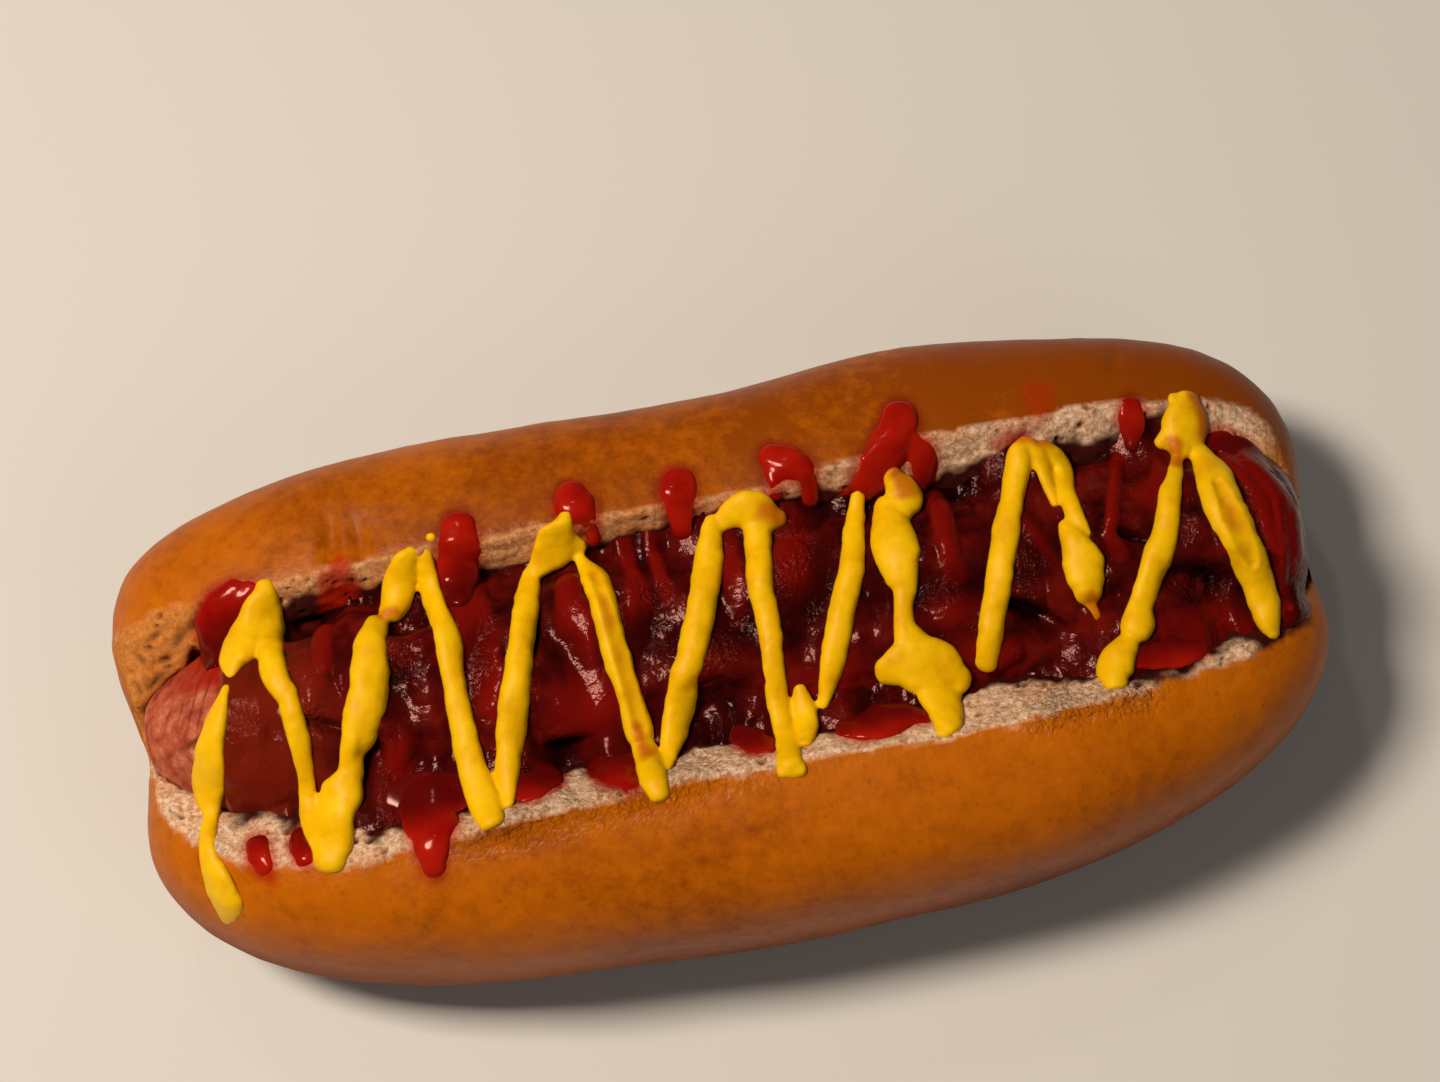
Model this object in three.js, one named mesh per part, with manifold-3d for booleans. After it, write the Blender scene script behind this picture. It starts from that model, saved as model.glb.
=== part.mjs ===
// A hot dog: one long soft bun, cut open along its top, and one slashed frankfurter under ketchup and
// mustard. Millimetres, +Z up. X runs along the bun, +Y is its far side and -Y its near side, and z = 0
// is the surface that it rests on. The sauces are fused to what they lie on: the bun or the frankfurter.
import * as THREE from "three";
import { mergeVertices } from "three/addons/utils/BufferGeometryUtils.js";
import Module from "manifold-3d";

const wasm = await Module();
wasm.setup();

// ---------- driving dimensions ----------
const bun = {
  halfLength: 83.6,
  farHalfWidth: 36.5,
  nearHalfWidth: 38.7,
  // The far side isn't even.
  farSwells: [{ x: 29, reach: 13, out: 1.3 }, { x: -52, reach: 12, out: 0.6 }],
  middleHeight: 21, // height of the loaf's widest line
  rise: 25, // from the widest line up to the top
  drop: 23, // from the widest line down to the underside, which the table flattens
  saddle: 3, // how far the top sinks between the two opened halves
  saddleWidth: 22,
  notch: 3.2, // how far each end draws in between the two halves
  notchWidth: 10,
  topSquareness: 3.2, // superellipse exponents of the section
  bottomSquareness: 2.6,
  endRounding: { far: [5, 4.3], near: [2.9, 2.6], top: 3, bottom: 2.4 }, // pairs: left and right end
  stations: 30,
  sides: 36,
};
const frank = {
  halfLength: 80,
  middleX: -0.5,
  radius: 15, // with its coat of ketchup
  middleY: 0.8,
  endY: 2.6, // it bends slightly in the bun
  z: 28,
  endRounding: [4, 5], // left and right end
  stations: 24,
  sides: 22,
};
const cut = {
  gap: 0.35, // between the frankfurter and the bun
  endGap: 1.6, // the same, lengthwise
  leastHalfWidth: 7, // at the open ends
  // How far each lip leans out from the frankfurter, as [x, distance] along the bun.
  farSpread: [[-84, 0.3], [-72, 0.5], [-62, 2.8], [0, 2.9], [36, 3.9], [84, 3.9]],
  nearSpread: [[-84, 2], [-76, 7], [-62, 8.6], [-40, 6.9], [-5, 6.2], [30, 6], [75, 4.4], [84, 4]],
  lipHeight: 44,
  stations: 26,
  arcSteps: 10,
  wallStations: 16,
};
const slash = { first: -46, pitch: 11.6, count: 10, width: 3.4, depth: 5.5, slant: 26 };
const split = { from: -14, to: 66, width: 3.6, depth: 5, offset: -1.5 };

// Strokes of mustard, each [x, y, half width] along the stroke. They zigzag from lip to lip.
const mustardStrokes = [
  [[-71.5, -23, 2], [-73, -14, 1.4], [-72, -7, 2.8], [-70, 0, 1.9], [-67.5, 5, 0.9]],
  [[-66, 9, 2.1], [-63.5, 12.5, 3], [-60.5, 15, 2.6], [-59.5, 17.5, 1.5]],
  [[-61.5, 12.5, 1.9], [-59.5, 3, 1.6], [-59, -7, 1.6], [-59, -13, 2], [-57, -19, 3.2]],
  [[-55, -14, 3], [-52.5, -6, 2.1], [-49.5, 0.5, 2.4], [-45, 12, 2.2], [-40, 17.5, 1.8]],
  [[-38, 16.5, 1.2], [-37, 5, 1.6], [-36.5, -9, 1.7], [-36.5, -19.5, 1.8]],
  [[-33.5, -17, 1.2], [-31, -8, 1.9], [-26.5, 7, 1.9], [-24.5, 11, 1.5], [-21, 15, 2.9], [-18.5, 17.5, 2]],
  [[-17.5, 12.5, 0.9], [-16.5, 2, 1.6], [-15.5, -12, 1.7], [-14, -21, 1.8]],
  [[-12, -17.5, 1.2], [-8.5, -9, 2], [-2.5, 5.5, 2], [1.5, 14, 1.5], [6.5, 16, 2.2]],
  [[5.5, 13, 1.6], [4.5, -2, 1.7], [4, -12, 1.7], [4, -20.5, 1.9]],
  [[6.5, -11.5, 1.8], [7, -15.5, 1.6]],
  [[9, -13.5, 0.9], [13, -5, 1.6], [18.5, 8, 1.6], [20.5, 13.5, 1.4]],
  [[26.5, 15.5, 2.4], [22.5, 5, 3.2], [22.5, -4, 1.7], [22, -8, 3], [23.5, -12, 5.2], [24.5, -19, 2.2]],
  [[31.5, -12, 1.3], [35, -3, 1.7], [40.5, 11, 1.9], [45, 16, 1.7]],
  [[47.5, 14.5, 1.8], [47, 4, 1.6], [46.5, -3, 3], [47.5, -9, 0.9]],
  [[47.5, -16.5, 2.6], [52, -10, 2.3], [56.5, -2, 1.9], [62, 9, 1.3], [65.5, 17, 3.2]],
  [[66, 13.5, 1.7], [66.5, 1, 2], [69.5, -8, 1.9], [70.5, -14, 1.3]],
];

// Runs and drops of ketchup over the lips, in the same form.
const ketchupRuns = [
  [[-68, 12.5, 2.9], [-65, 17, 2.5]],
  [[-50, 13, 3], [-49.5, 16.5, 2.4]],
  [[-35, 9, 3.5], [-34.5, 15, 2.9], [-33.5, 19.5, 2.4]],
  [[-16.5, 16.5, 1.5], [-17.5, 20.5, 2.6]],
  [[-3.5, 15, 1.6], [-3.5, 20, 2.5]],
  [[14, 15.5, 1.2], [13, 18, 1.6], [10.5, 20.5, 2.1]],
  [[23.5, 15.5, 2.7], [25, 18.5, 1.9], [27.5, 22, 2.4]],
  [[58, 14, 1.2], [58.5, 18, 1.6]],
  [[73, 13, 2.4]],
  [[-66, -16.5, 1.3], [-66.5, -19.5, 1.5]],
  [[-60.5, -16.5, 1.4]],
  [[-43.5, -16, 3.6], [-44, -21, 2.5], [-44, -25, 2]],
  [[-29, -16.5, 2]],
  [[-18, -16.5, 2.4]],
  [[0.5, -15.5, 1.9]],
  [[14, -16.5, 2.3], [20, -16.5, 1.9]],
  [[41.5, -13.5, 2], [49, -15, 2.1], [57.5, -15.5, 2.8]],
  [[74, -10, 1.8], [78, -11.5, 1.4]],
];
const pools = { from: -64, to: 68, radius: 2.3, wobble: 0.5, inset: 2.2, height: 8.4, step: 6 };
const bead = { sides: 6, ringsPerLeg: 2, sink: 0.35 }; // sink: how deep a bead lies, as a share of its radius

// ---------- forms of the loaf and the frankfurter ----------
const superellipse = (t, n) => Math.max(0, 1 - Math.min(1, Math.abs(t)) ** n) ** (1 / n);
const atEnd = (pair, x) => pair[x < 0 ? 0 : 1];

const hump = (offset, reach) => Math.exp(-((offset / reach) ** 2));
const swellAt = (x) => bun.farSwells.reduce((sum, s) => sum + s.out * hump(x - s.x, s.reach), 0);

const loafHalfWidth = (x, far) =>
  (far ? bun.farHalfWidth + swellAt(x) : bun.nearHalfWidth) *
  superellipse(x / bun.halfLength, atEnd(bun.endRounding[far ? "far" : "near"], x));
const loafRise = (x) => bun.rise * superellipse(x / bun.halfLength, bun.endRounding.top);
const loafDrop = (x) => bun.drop * superellipse(x / bun.halfLength, bun.endRounding.bottom);
const saddleDepth = (x, y) =>
  bun.saddle * (loafRise(x) / bun.rise) * hump(y, bun.saddleWidth);

function loafTop(x, y) {
  const across = y / Math.max(loafHalfWidth(x, y > 0), 0.01);
  return bun.middleHeight + loafRise(x) * superellipse(across, bun.topSquareness) - saddleDepth(x, y);
}

function frankRadius(x, endGap = 0) {
  const share = (x - frank.middleX) / (frank.halfLength + endGap);
  return frank.radius * superellipse(share, atEnd(frank.endRounding, x));
}
const frankY = (x) => frank.middleY + (frank.endY - frank.middleY) * (x / frank.halfLength) ** 2;
const channelHalfWidth = (x) => Math.max(frankRadius(x, cut.endGap) + cut.gap, cut.leastHalfWidth);

// A size given as [x, value] stations, eased from each station to the next.
function along(stations, x) {
  const next = stations.findIndex(([at]) => at > x);
  if (next < 1) return stations[next ? stations.length - 1 : 0][1];
  const [[x0, v0], [x1, v1]] = [stations[next - 1], stations[next]];
  return THREE.MathUtils.lerp(v0, v1, THREE.MathUtils.smoothstep(x, x0, x1));
}

const farLip = (x) => frankY(x) + channelHalfWidth(x) + along(cut.farSpread, x);
const nearLip = (x) => frankY(x) - channelHalfWidth(x) - along(cut.nearSpread, x);

// Height of what carries a bead of sauce: the frankfurter, the crust, or a straight line between them.
function carrierTop(x, y) {
  if (y >= farLip(x) || y <= nearLip(x)) return loafTop(x, y);
  const r = frankRadius(x);
  const off = y - frankY(x);
  const shoulder = 0.8 * r;
  if (Math.abs(off) <= shoulder) return frank.z + Math.sqrt(r * r - off * off);
  const lip = off > 0 ? farLip(x) : nearLip(x);
  const share = (Math.abs(off) - shoulder) / (Math.abs(lip - frankY(x)) - shoulder);
  return THREE.MathUtils.lerp(frank.z + 0.6 * r, loafTop(x, lip), share);
}

// ---------- solids ----------
// A closed skin over rings of points, with a point at each end.
function loft(rings, first, last) {
  const count = rings[0].length;
  const points = [first, ...rings.flat(), last];
  const at = (ring, i) => 1 + ring * count + (i % count);
  const faces = [];
  for (let i = 0; i < count; i++) {
    faces.push(0, at(0, i + 1), at(0, i));
    for (let ring = 0; ring + 1 < rings.length; ring++) {
      faces.push(at(ring, i), at(ring, i + 1), at(ring + 1, i + 1));
      faces.push(at(ring, i), at(ring + 1, i + 1), at(ring + 1, i));
    }
    faces.push(points.length - 1, at(rings.length - 1, i), at(rings.length - 1, i + 1));
  }
  const geometry = new THREE.BufferGeometry().setFromPoints(points);
  geometry.setIndex(faces);
  return geometry;
}

function toSolid(geometry) {
  geometry.deleteAttribute("normal");
  geometry.deleteAttribute("uv");
  const merged = mergeVertices(geometry, 1e-4);
  return new wasm.Manifold(
    new wasm.Mesh({
      numProp: 3,
      vertProperties: merged.attributes.position.array,
      triVerts: new Uint32Array(merged.index.array),
    }),
  );
}

function toMesh(solid, name, colour, roughness) {
  // Fusing can leave a scrap of sauce or seal a hollow: only the largest body is kept.
  const largest = solid.decompose().sort((a, b) => b.volume() - a.volume())[0];
  const data = largest.getMesh();
  const geometry = new THREE.BufferGeometry();
  geometry.setAttribute("position", new THREE.BufferAttribute(data.vertProperties, 3));
  geometry.setIndex(new THREE.BufferAttribute(data.triVerts, 1));
  geometry.computeVertexNormals();
  const mesh = new THREE.Mesh(
    geometry,
    new THREE.MeshStandardMaterial({ color: colour, roughness, metalness: 0 }),
  );
  mesh.name = name;
  return mesh;
}

// Stations from end to end, closer together where the ends round off.
function stationsOf(halfLength, count) {
  const share = (i) => (2 * (i + 1)) / count - 1;
  return Array.from({ length: count - 1 }, (_, i) => halfLength * Math.sin((Math.PI / 2) * share(i)));
}
const pastTheEnds = (count) => {
  const reach = bun.halfLength + 4;
  return [-reach, ...stationsOf(bun.halfLength, count), reach];
};

function loafSolid() {
  const ringAt = (x) =>
    Array.from({ length: bun.sides }, (_, i) => {
      const angle = (2 * Math.PI * i) / bun.sides;
      const [across, up] = [Math.cos(angle), Math.sin(angle)];
      const n = up > 0 ? bun.topSquareness : bun.bottomSquareness;
      const reach = (Math.abs(across) ** n + Math.abs(up) ** n) ** (-1 / n);
      const y = loafHalfWidth(x, across > 0) * reach * across;
      const z = bun.middleHeight + (up > 0 ? loafRise(x) : loafDrop(x)) * reach * up;
      const notch = bun.notch * (x / bun.halfLength) ** 5 * hump(y, bun.notchWidth);
      return new THREE.Vector3(x - notch, y, Math.max(0, z - (up > 0 ? saddleDepth(x, y) : 0)));
    });
  const end = (side) => new THREE.Vector3(side * (bun.halfLength - bun.notch), 0, bun.middleHeight);
  const rings = stationsOf(bun.halfLength, bun.stations).map(ringAt);
  return toSolid(loft(rings, end(-1), end(1)));
}

// The space that is cut out of the loaf: a round channel for the frankfurter, opening out to the lips.
function grooveSolid() {
  const skyHeight = 70;
  const ringAt = (x) => {
    const half = channelHalfWidth(x);
    const ring = Array.from({ length: cut.arcSteps + 1 }, (_, i) => {
      const angle = Math.PI * (1 + i / cut.arcSteps);
      return [frankY(x) + half * Math.cos(angle), frank.z + half * Math.sin(angle)];
    });
    ring.push([farLip(x), cut.lipHeight], [farLip(x), skyHeight]);
    ring.push([nearLip(x), skyHeight], [nearLip(x), cut.lipHeight]);
    return ring.map(([y, z]) => new THREE.Vector3(x, y, z));
  };
  const xs = pastTheEnds(cut.stations);
  const end = (x) => new THREE.Vector3(x, frankY(x), frank.z + 4);
  return toSolid(loft(xs.map(ringAt), end(xs[0]), end(xs[xs.length - 1])));
}

// A standing wall of space over the frankfurter, between halfWidth to either side of its middle line.
function overFrank(halfWidthAt) {
  const ringAt = (x) =>
    [[1, -1], [1, 1], [-1, 1], [-1, -1]].map(
      ([side, up]) =>
        new THREE.Vector3(x, frankY(x) + side * halfWidthAt(x), up > 0 ? 68 : frank.z - 1),
    );
  const xs = pastTheEnds(cut.wallStations);
  const end = (x) => new THREE.Vector3(x, frankY(x), frank.z + 6);
  return toSolid(loft(xs.map(ringAt), end(xs[0]), end(xs[xs.length - 1])));
}

function frankSolid() {
  const ringAt = (x) =>
    Array.from({ length: frank.sides }, (_, i) => {
      const angle = (2 * Math.PI * i) / frank.sides;
      const r = frankRadius(x);
      return new THREE.Vector3(x, frankY(x) + r * Math.cos(angle), frank.z + r * Math.sin(angle));
    });
  const end = (x) => new THREE.Vector3(x, frankY(x), frank.z);
  const xs = stationsOf(frank.halfLength, frank.stations).map((x) => x + frank.middleX);
  return toSolid(
    loft(xs.map(ringAt), end(frank.middleX - frank.halfLength), end(frank.middleX + frank.halfLength)),
  );
}

// A knife cut: a wedge of the given width and depth, standing on its edge, along local Y.
function wedge(width, depth, length) {
  const proud = 3; // it stands out of the skin by this much
  const shape = new THREE.Shape([
    new THREE.Vector2(0, -depth),
    new THREE.Vector2((width / 2) * (1 + proud / depth), proud),
    new THREE.Vector2((-width / 2) * (1 + proud / depth), proud),
  ]);
  const geometry = new THREE.ExtrudeGeometry(shape, { depth: length, bevelEnabled: false });
  geometry.translate(0, 0, -length / 2);
  return geometry.rotateX(Math.PI / 2);
}

function slashSolids() {
  const crosswise = Array.from({ length: slash.count }, (_, i) => {
    const x = slash.first + i * slash.pitch;
    const side = i % 2 ? -1 : 1;
    const geometry = wedge(slash.width, slash.depth, 2.4 * frank.radius);
    geometry.rotateZ(THREE.MathUtils.degToRad(side * slash.slant));
    geometry.translate(x, frankY(x), frank.z + frankRadius(x));
    return toSolid(geometry);
  });
  const middle = (split.from + split.to) / 2;
  const lengthwise = wedge(split.width, split.depth, split.to - split.from);
  lengthwise.rotateZ(Math.PI / 2);
  lengthwise.translate(middle, frankY(middle) + split.offset, frank.z + frankRadius(middle));
  return [...crosswise, toSolid(lengthwise)];
}

// A round bead of sauce through [x, y, half width] points, lying on what carries it.
function beadSolid(stops) {
  const legs = Math.max(1, stops.length - 1);
  const centres = stops.map(
    ([x, y, r]) => new THREE.Vector3(x, y, carrierTop(x, y) + r * (1 - 2 * bead.sink)),
  );
  if (stops.length === 1) {
    const ball = new THREE.SphereGeometry(stops[0][2], bead.sides + 1, 6);
    return toSolid(ball.translate(centres[0].x, centres[0].y, centres[0].z));
  }
  const curve = new THREE.CatmullRomCurve3(centres, false, "centripetal");
  const count = legs * bead.ringsPerLeg;
  const radiusAt = (t) => {
    const leg = Math.min(legs - 1, Math.floor(t * legs));
    const eased = THREE.MathUtils.smoothstep(t * legs - leg, 0, 1);
    return THREE.MathUtils.lerp(stops[leg][2], stops[leg + 1][2], eased);
  };
  const ringAround = (centre, along, r) => {
    const side = new THREE.Vector3(0, 0, 1).cross(along).normalize();
    const up = along.clone().cross(side).normalize();
    return Array.from({ length: bead.sides }, (_, i) => {
      const angle = (2 * Math.PI * i) / bead.sides;
      const point = centre.clone().addScaledVector(side, r * Math.cos(angle));
      return point.addScaledVector(up, r * Math.sin(angle));
    });
  };
  const rings = [];
  for (let i = 0; i <= count; i++) {
    const t = i / count;
    rings.push(ringAround(curve.getPoint(t), curve.getTangent(t), radiusAt(t)));
  }
  // Each end rounds off through one smaller ring.
  const tipAt = (t, outwards) => {
    const along = curve.getTangent(t);
    const out = along.clone().multiplyScalar(outwards * radiusAt(t));
    const centre = curve.getPoint(t);
    return {
      ring: ringAround(centre.clone().addScaledVector(out, 0.7), along, 0.7 * radiusAt(t)),
      point: centre.add(out),
    };
  };
  const [start, stop] = [tipAt(0, -1), tipAt(1, 1)];
  return toSolid(loft([start.ring, ...rings, stop.ring], start.point, stop.point));
}

// Ketchup that has run down beside the frankfurter, one ridge along each side.
function poolSolid(side) {
  const xs = [];
  for (let x = pools.from; x <= pools.to; x += pools.step) xs.push(x);
  const centreAt = (x) => {
    const y = frankY(x) + side * (frankRadius(x) - pools.inset);
    return new THREE.Vector3(x, y, frank.z + pools.height * (frankRadius(x) / frank.radius));
  };
  const ringAt = (x) => {
    const r = pools.radius + pools.wobble * Math.sin(0.31 * x + side);
    return Array.from({ length: bead.sides }, (_, i) => {
      const angle = (2 * Math.PI * i) / bead.sides;
      return centreAt(x).add(new THREE.Vector3(0, r * Math.cos(angle), r * Math.sin(angle)));
    });
  };
  const tip = (x, out) => centreAt(x).add(new THREE.Vector3(out, 0, 0));
  return toSolid(loft(xs.map(ringAt), tip(xs[0], -2), tip(xs[xs.length - 1], 2)));
}

// ---------- the two pieces ----------
const sauces = wasm.Manifold.union([...mustardStrokes, ...ketchupRuns].map(beadSolid));
const slashes = wasm.Manifold.union(slashSolids());
const channelWall = overFrank(channelHalfWidth);
const insideChannel = overFrank((x) => channelHalfWidth(x) - cut.gap);

const bunSolid = loafSolid().subtract(grooveSolid()).add(sauces.subtract(channelWall));
const frankWithSauces = frankSolid()
  .subtract(slashes)
  .add(wasm.Manifold.union([poolSolid(1), poolSolid(-1), sauces]).intersect(insideChannel));

const hotDog = new THREE.Group();
hotDog.add(toMesh(bunSolid, "bun", 0xc97f2e, 0.42));
hotDog.add(toMesh(frankWithSauces, "frankfurter", 0x8f1a12, 0.25));

export default hotDog;
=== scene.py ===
import math
from functools import partial

import bpy
import numpy as np
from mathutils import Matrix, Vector
from mathutils.bvhtree import BVHTree
from mathutils.kdtree import KDTree


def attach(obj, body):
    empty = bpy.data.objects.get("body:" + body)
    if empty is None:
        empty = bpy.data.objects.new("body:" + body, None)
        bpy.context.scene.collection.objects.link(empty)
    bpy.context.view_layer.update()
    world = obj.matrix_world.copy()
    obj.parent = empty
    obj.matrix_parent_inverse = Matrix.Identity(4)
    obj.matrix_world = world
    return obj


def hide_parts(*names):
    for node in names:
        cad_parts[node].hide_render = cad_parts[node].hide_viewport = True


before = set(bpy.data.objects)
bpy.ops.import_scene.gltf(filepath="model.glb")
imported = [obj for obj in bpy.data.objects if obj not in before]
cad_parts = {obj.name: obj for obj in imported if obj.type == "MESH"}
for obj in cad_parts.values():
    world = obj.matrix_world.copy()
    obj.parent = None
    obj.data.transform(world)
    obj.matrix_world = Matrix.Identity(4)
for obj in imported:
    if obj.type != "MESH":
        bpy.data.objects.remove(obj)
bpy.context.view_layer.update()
mm = 0.001  # sizes are in millimetres, and meshes in metres

# The camera looks down on the hot dog, a little from its near side.
camera = {"lens": 85, "sensor": 36, "stand": (-23.8, -118.0, 474.2), "aim": (1.6, 16.4, 25.0)}


def makeCamera():
    stand, aim = Vector(camera["stand"]) * mm, Vector(camera["aim"]) * mm
    bpy.ops.object.camera_add(location=stand, rotation=(aim - stand).to_track_quat("-Z", "Y").to_euler())
    made = bpy.context.object
    made.name = "camera"
    made.data.lens = camera["lens"]
    made.data.sensor_width = camera["sensor"]
    bpy.context.scene.camera = made


makeCamera()
print("camera is in place")


def deselectAll():
    bpy.ops.object.select_all(action="DESELECT")


def makeActive(piece):
    deselectAll()
    piece.select_set(True)
    bpy.context.view_layer.objects.active = piece


def applyModifier(piece, kind, **settings):
    makeActive(piece)
    bpy.ops.object.modifier_add(type=kind)
    modifier = piece.modifiers[-1]
    for key, value in settings.items():
        setattr(modifier, key, value)
    bpy.ops.object.modifier_apply(modifier=modifier.name)


def pointsOf(piece):
    flat = np.empty(len(piece.data.vertices) * 3, np.float32)
    piece.data.vertices.foreach_get("co", flat)
    return flat.reshape(-1, 3).astype(float) / mm


def movePoints(piece, points):
    piece.data.vertices.foreach_set("co", (points * mm).astype(np.float32).ravel())
    piece.data.update()


def normalsOf(piece):
    flat = np.empty(len(piece.data.vertices) * 3, np.float32)
    piece.data.vertex_normals.foreach_get("vector", flat)
    return flat.reshape(-1, 3).astype(float)


def treeOf(piece):
    return BVHTree.FromObject(piece, bpy.context.evaluated_depsgraph_get())


# Keeps values on the points of a piece, for its material to read.
def keepValues(piece, **named):
    for name, values in named.items():
        layer = piece.data.attributes.new(name, "FLOAT", "POINT")
        layer.data.foreach_set("value", np.asarray(values, np.float32))


# A ball with its poles on the X axis, which each long piece is drawn out of.
def newBall(name, segments, rings):
    deselectAll()
    bpy.ops.mesh.primitive_uv_sphere_add(
        segments=segments, ring_count=rings, radius=1, rotation=(0, math.pi / 2, 0)
    )
    bpy.ops.object.transform_apply(location=False, rotation=True, scale=False)
    piece = bpy.context.object
    piece.name = name
    return piece


# Where each point of the ball lies: its share of the way along, -1 to 1, and its angle round from +Y over +Z.
def ballPlaces(piece):
    points = pointsOf(piece) * mm
    polar = np.arccos(np.clip(points[:, 0], -1, 1))
    return 1 - 2 * polar / math.pi, np.arctan2(points[:, 2], points[:, 1])


def smooth01(value, low, high):
    share = np.clip((value - low) / (high - low), 0, 1)
    return share * share * (3 - 2 * share)


def hump(offset, reach):
    return np.exp(-((offset / reach) ** 2))


# Soft random lumps between -1 and 1; size is the width of a lump in millimetres.
def lumps(points, size, seed):
    grid = np.asarray(points, float) / size + 1000 + 17.7 * seed
    cell = np.floor(grid).astype(np.int64)
    part = grid - cell
    part = part * part * (3 - 2 * part)
    total = np.zeros(len(grid))
    for corner in range(8):
        step = np.array([corner & 1, corner >> 1 & 1, corner >> 2 & 1])
        spot = (cell + step) * np.array([374761393, 668265263, 1442695041])
        key = (spot.sum(axis=1) + seed * 974711) & 0xFFFFFFFF
        key = ((key ^ (key >> 13)) * 1274126177) & 0xFFFFFFFF
        key = ((key ^ (key >> 15)) * 2246822519) & 0xFFFFFFFF
        value = ((key >> 12) & 0xFFFF) / 32767.5 - 1
        total += value * np.prod(np.where(step, part, 1 - part), axis=1)
    return total


# Lumps of several sizes laid over each other: the width and height of each.
def lumpsOf(points, sizes, seed):
    return sum(height * lumps(points, width, seed + order) for order, (width, height) in enumerate(sizes))


# Forms that the bun and the frankfurter share.
bun = {
    "halfLength": 83.6,
    "farHalfWidth": 36.5,
    "nearHalfWidth": 38.7,
    "farSwells": ((29, 13, 1.3), (-52, 12, 0.6)),  # where, reach and height of each
    "middleHeight": 21,
    "rise": 25,
    "riseRounding": 3,
    "drop": 23,
    "dropRounding": 2.4,
    "saddle": 3,  # how far the top sinks between the halves
    "saddleWidth": 22,
    "notch": 3.2,
    "notchWidth": 10,
    "topSquareness": 3.2,
    "bottomSquareness": 2.6,
    "farRounding": (5, 4.3),  # left and right end
    "nearRounding": (2.9, 2.6),
    "segments": 150,
    "rings": 170,
    "unevenness": ((34, 0.7), (13, 0.3)),  # width and height of the swellings in the crust
    "voxel": 0.82,
    "crustThickness": 0.55,
}
frank = {
    "halfLength": 79.5,
    "radius": 15,
    "middleY": 0.8,
    "endY": (0.3, 2.6),  # left and right end
    "z": 28,
    "endRounding": (4, 5),
    "taper": (68, 79, 0.27),  # where the left end narrows more, and by how much
    "turnIn": (66, 80, 1.8),  # where the left end turns to the far side, and by how much
}
cut = {
    "gap": 0.05,
    "endGap": 0.1,
    "leastHalfWidth": 4.5,
    "farSpread": (
        (-84, 11), (-80, 10.6), (-77, 9.4), (-73, 7), (-69.5, 5), (-66, 4.2), (-60, 3.8), (-52, 2.8),
        (-46, 2), (-40, 1.7), (-26, 1), (-14, 0.5), (-6, 1.5), (12, 1.4), (18, 2.3), (33, 3.5), (46, 3.5),
        (56, 4.4), (84, 5.2),
    ),
    "nearSpread": (
        (-84, 7.5), (-78, 7.6), (-74, 7.9), (-68, 7.4), (-56, 8.8), (-44, 7.7), (-30, 7), (-8, 6.1),
        (3, 6.4), (12, 6.1), (25, 6.7), (40, 5.9), (60, 5.3), (72, 4.8), (84, 5.5),
    ),
    "lipHeight": 44,
    # How far round, in degrees above the middle, the bread hugs the frankfurter.
    "farHug": ((-84, 8), (-76, 14), (-71, 24), (-64, 30), (84, 32)),
    "nearHug": ((-84, 18), (-60, 26), (84, 28)),
    "torn": ((9, 0.6), (3.1, 0.4), (1.5, 0.2)),  # width and height of the lumps in its walls
    "wallEnd": 0.95,  # how far round, in radians, the walls end, and above them the way out to the sky
    "skyEnd": 1.25,
    "skyHeight": 70,
    "pastEnds": 4,  # how far it runs out of each end of the bun
    "segments": 128,
    "rings": 260,
    # Heights of the sauce that stands between the frankfurter and the bread, over the frankfurter's middle.
    "farLevel": (
        (-66, 8.6), (-50, 10.5), (-40, 11), (-27, 10), (-14, 11.3), (0, 12.8), (12, 13), (18, 12.4),
        (34, 10.7), (43, 12.6), (52, 10.5), (60, 11), (66, 10.4), (72, 9), (76, 6), (80, 2),
    ),
    "nearLevel": (
        (-70, 6), (-66, 6.5), (-61, 8), (-49, 11.5), (-30, 12.5), (-24, 9.5), (-18, 11.5), (-5, 10.3),
        (12, 12), (20, 11.5), (33, 8.8), (42, 10.4), (54, 12.6), (60, 11.2), (66, 9), (71, 9.4),
        (78, 11.2),
    ),
}


def superellipse(share, power):
    return np.maximum(0, 1 - np.minimum(1, np.abs(share)) ** power) ** (1 / power)


def atEnd(pair, x):
    return np.where(x < 0, pair[0], pair[1])


def along(stations, x):
    places = np.array([place for place, value in stations], float)
    values = np.array([value for place, value in stations], float)
    low = np.clip(np.searchsorted(places, x, side="right") - 1, 0, len(places) - 2)
    share = smooth01(x, places[low], places[low + 1])
    return values[low] + (values[low + 1] - values[low]) * share


def loafHalfWidth(x, far):
    swell = sum(out * hump(x - place, reach) for place, reach, out in bun["farSwells"])
    width = np.where(far, bun["farHalfWidth"] + swell, bun["nearHalfWidth"])
    power = np.where(far, atEnd(bun["farRounding"], x), atEnd(bun["nearRounding"], x))
    return width * superellipse(x / bun["halfLength"], power)


def loafRise(x):
    return bun["rise"] * superellipse(x / bun["halfLength"], bun["riseRounding"])


def loafDrop(x):
    return bun["drop"] * superellipse(x / bun["halfLength"], bun["dropRounding"])


def saddleDepth(x, y):
    return bun["saddle"] * (loafRise(x) / bun["rise"]) * hump(y, bun["saddleWidth"])


def loafTop(x, y):
    share = y / np.maximum(loafHalfWidth(x, y > 0), 0.01)
    rise = loafRise(x) * superellipse(share, bun["topSquareness"])
    return bun["middleHeight"] + rise - saddleDepth(x, y)


def frankRadius(x, endGap=0):
    share = x / (frank["halfLength"] + endGap)
    start, stop, amount = frank["taper"]
    narrowing = 1 - amount * smooth01(-x, start, stop)
    return frank["radius"] * narrowing * superellipse(share, atEnd(frank["endRounding"], x))


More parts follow.
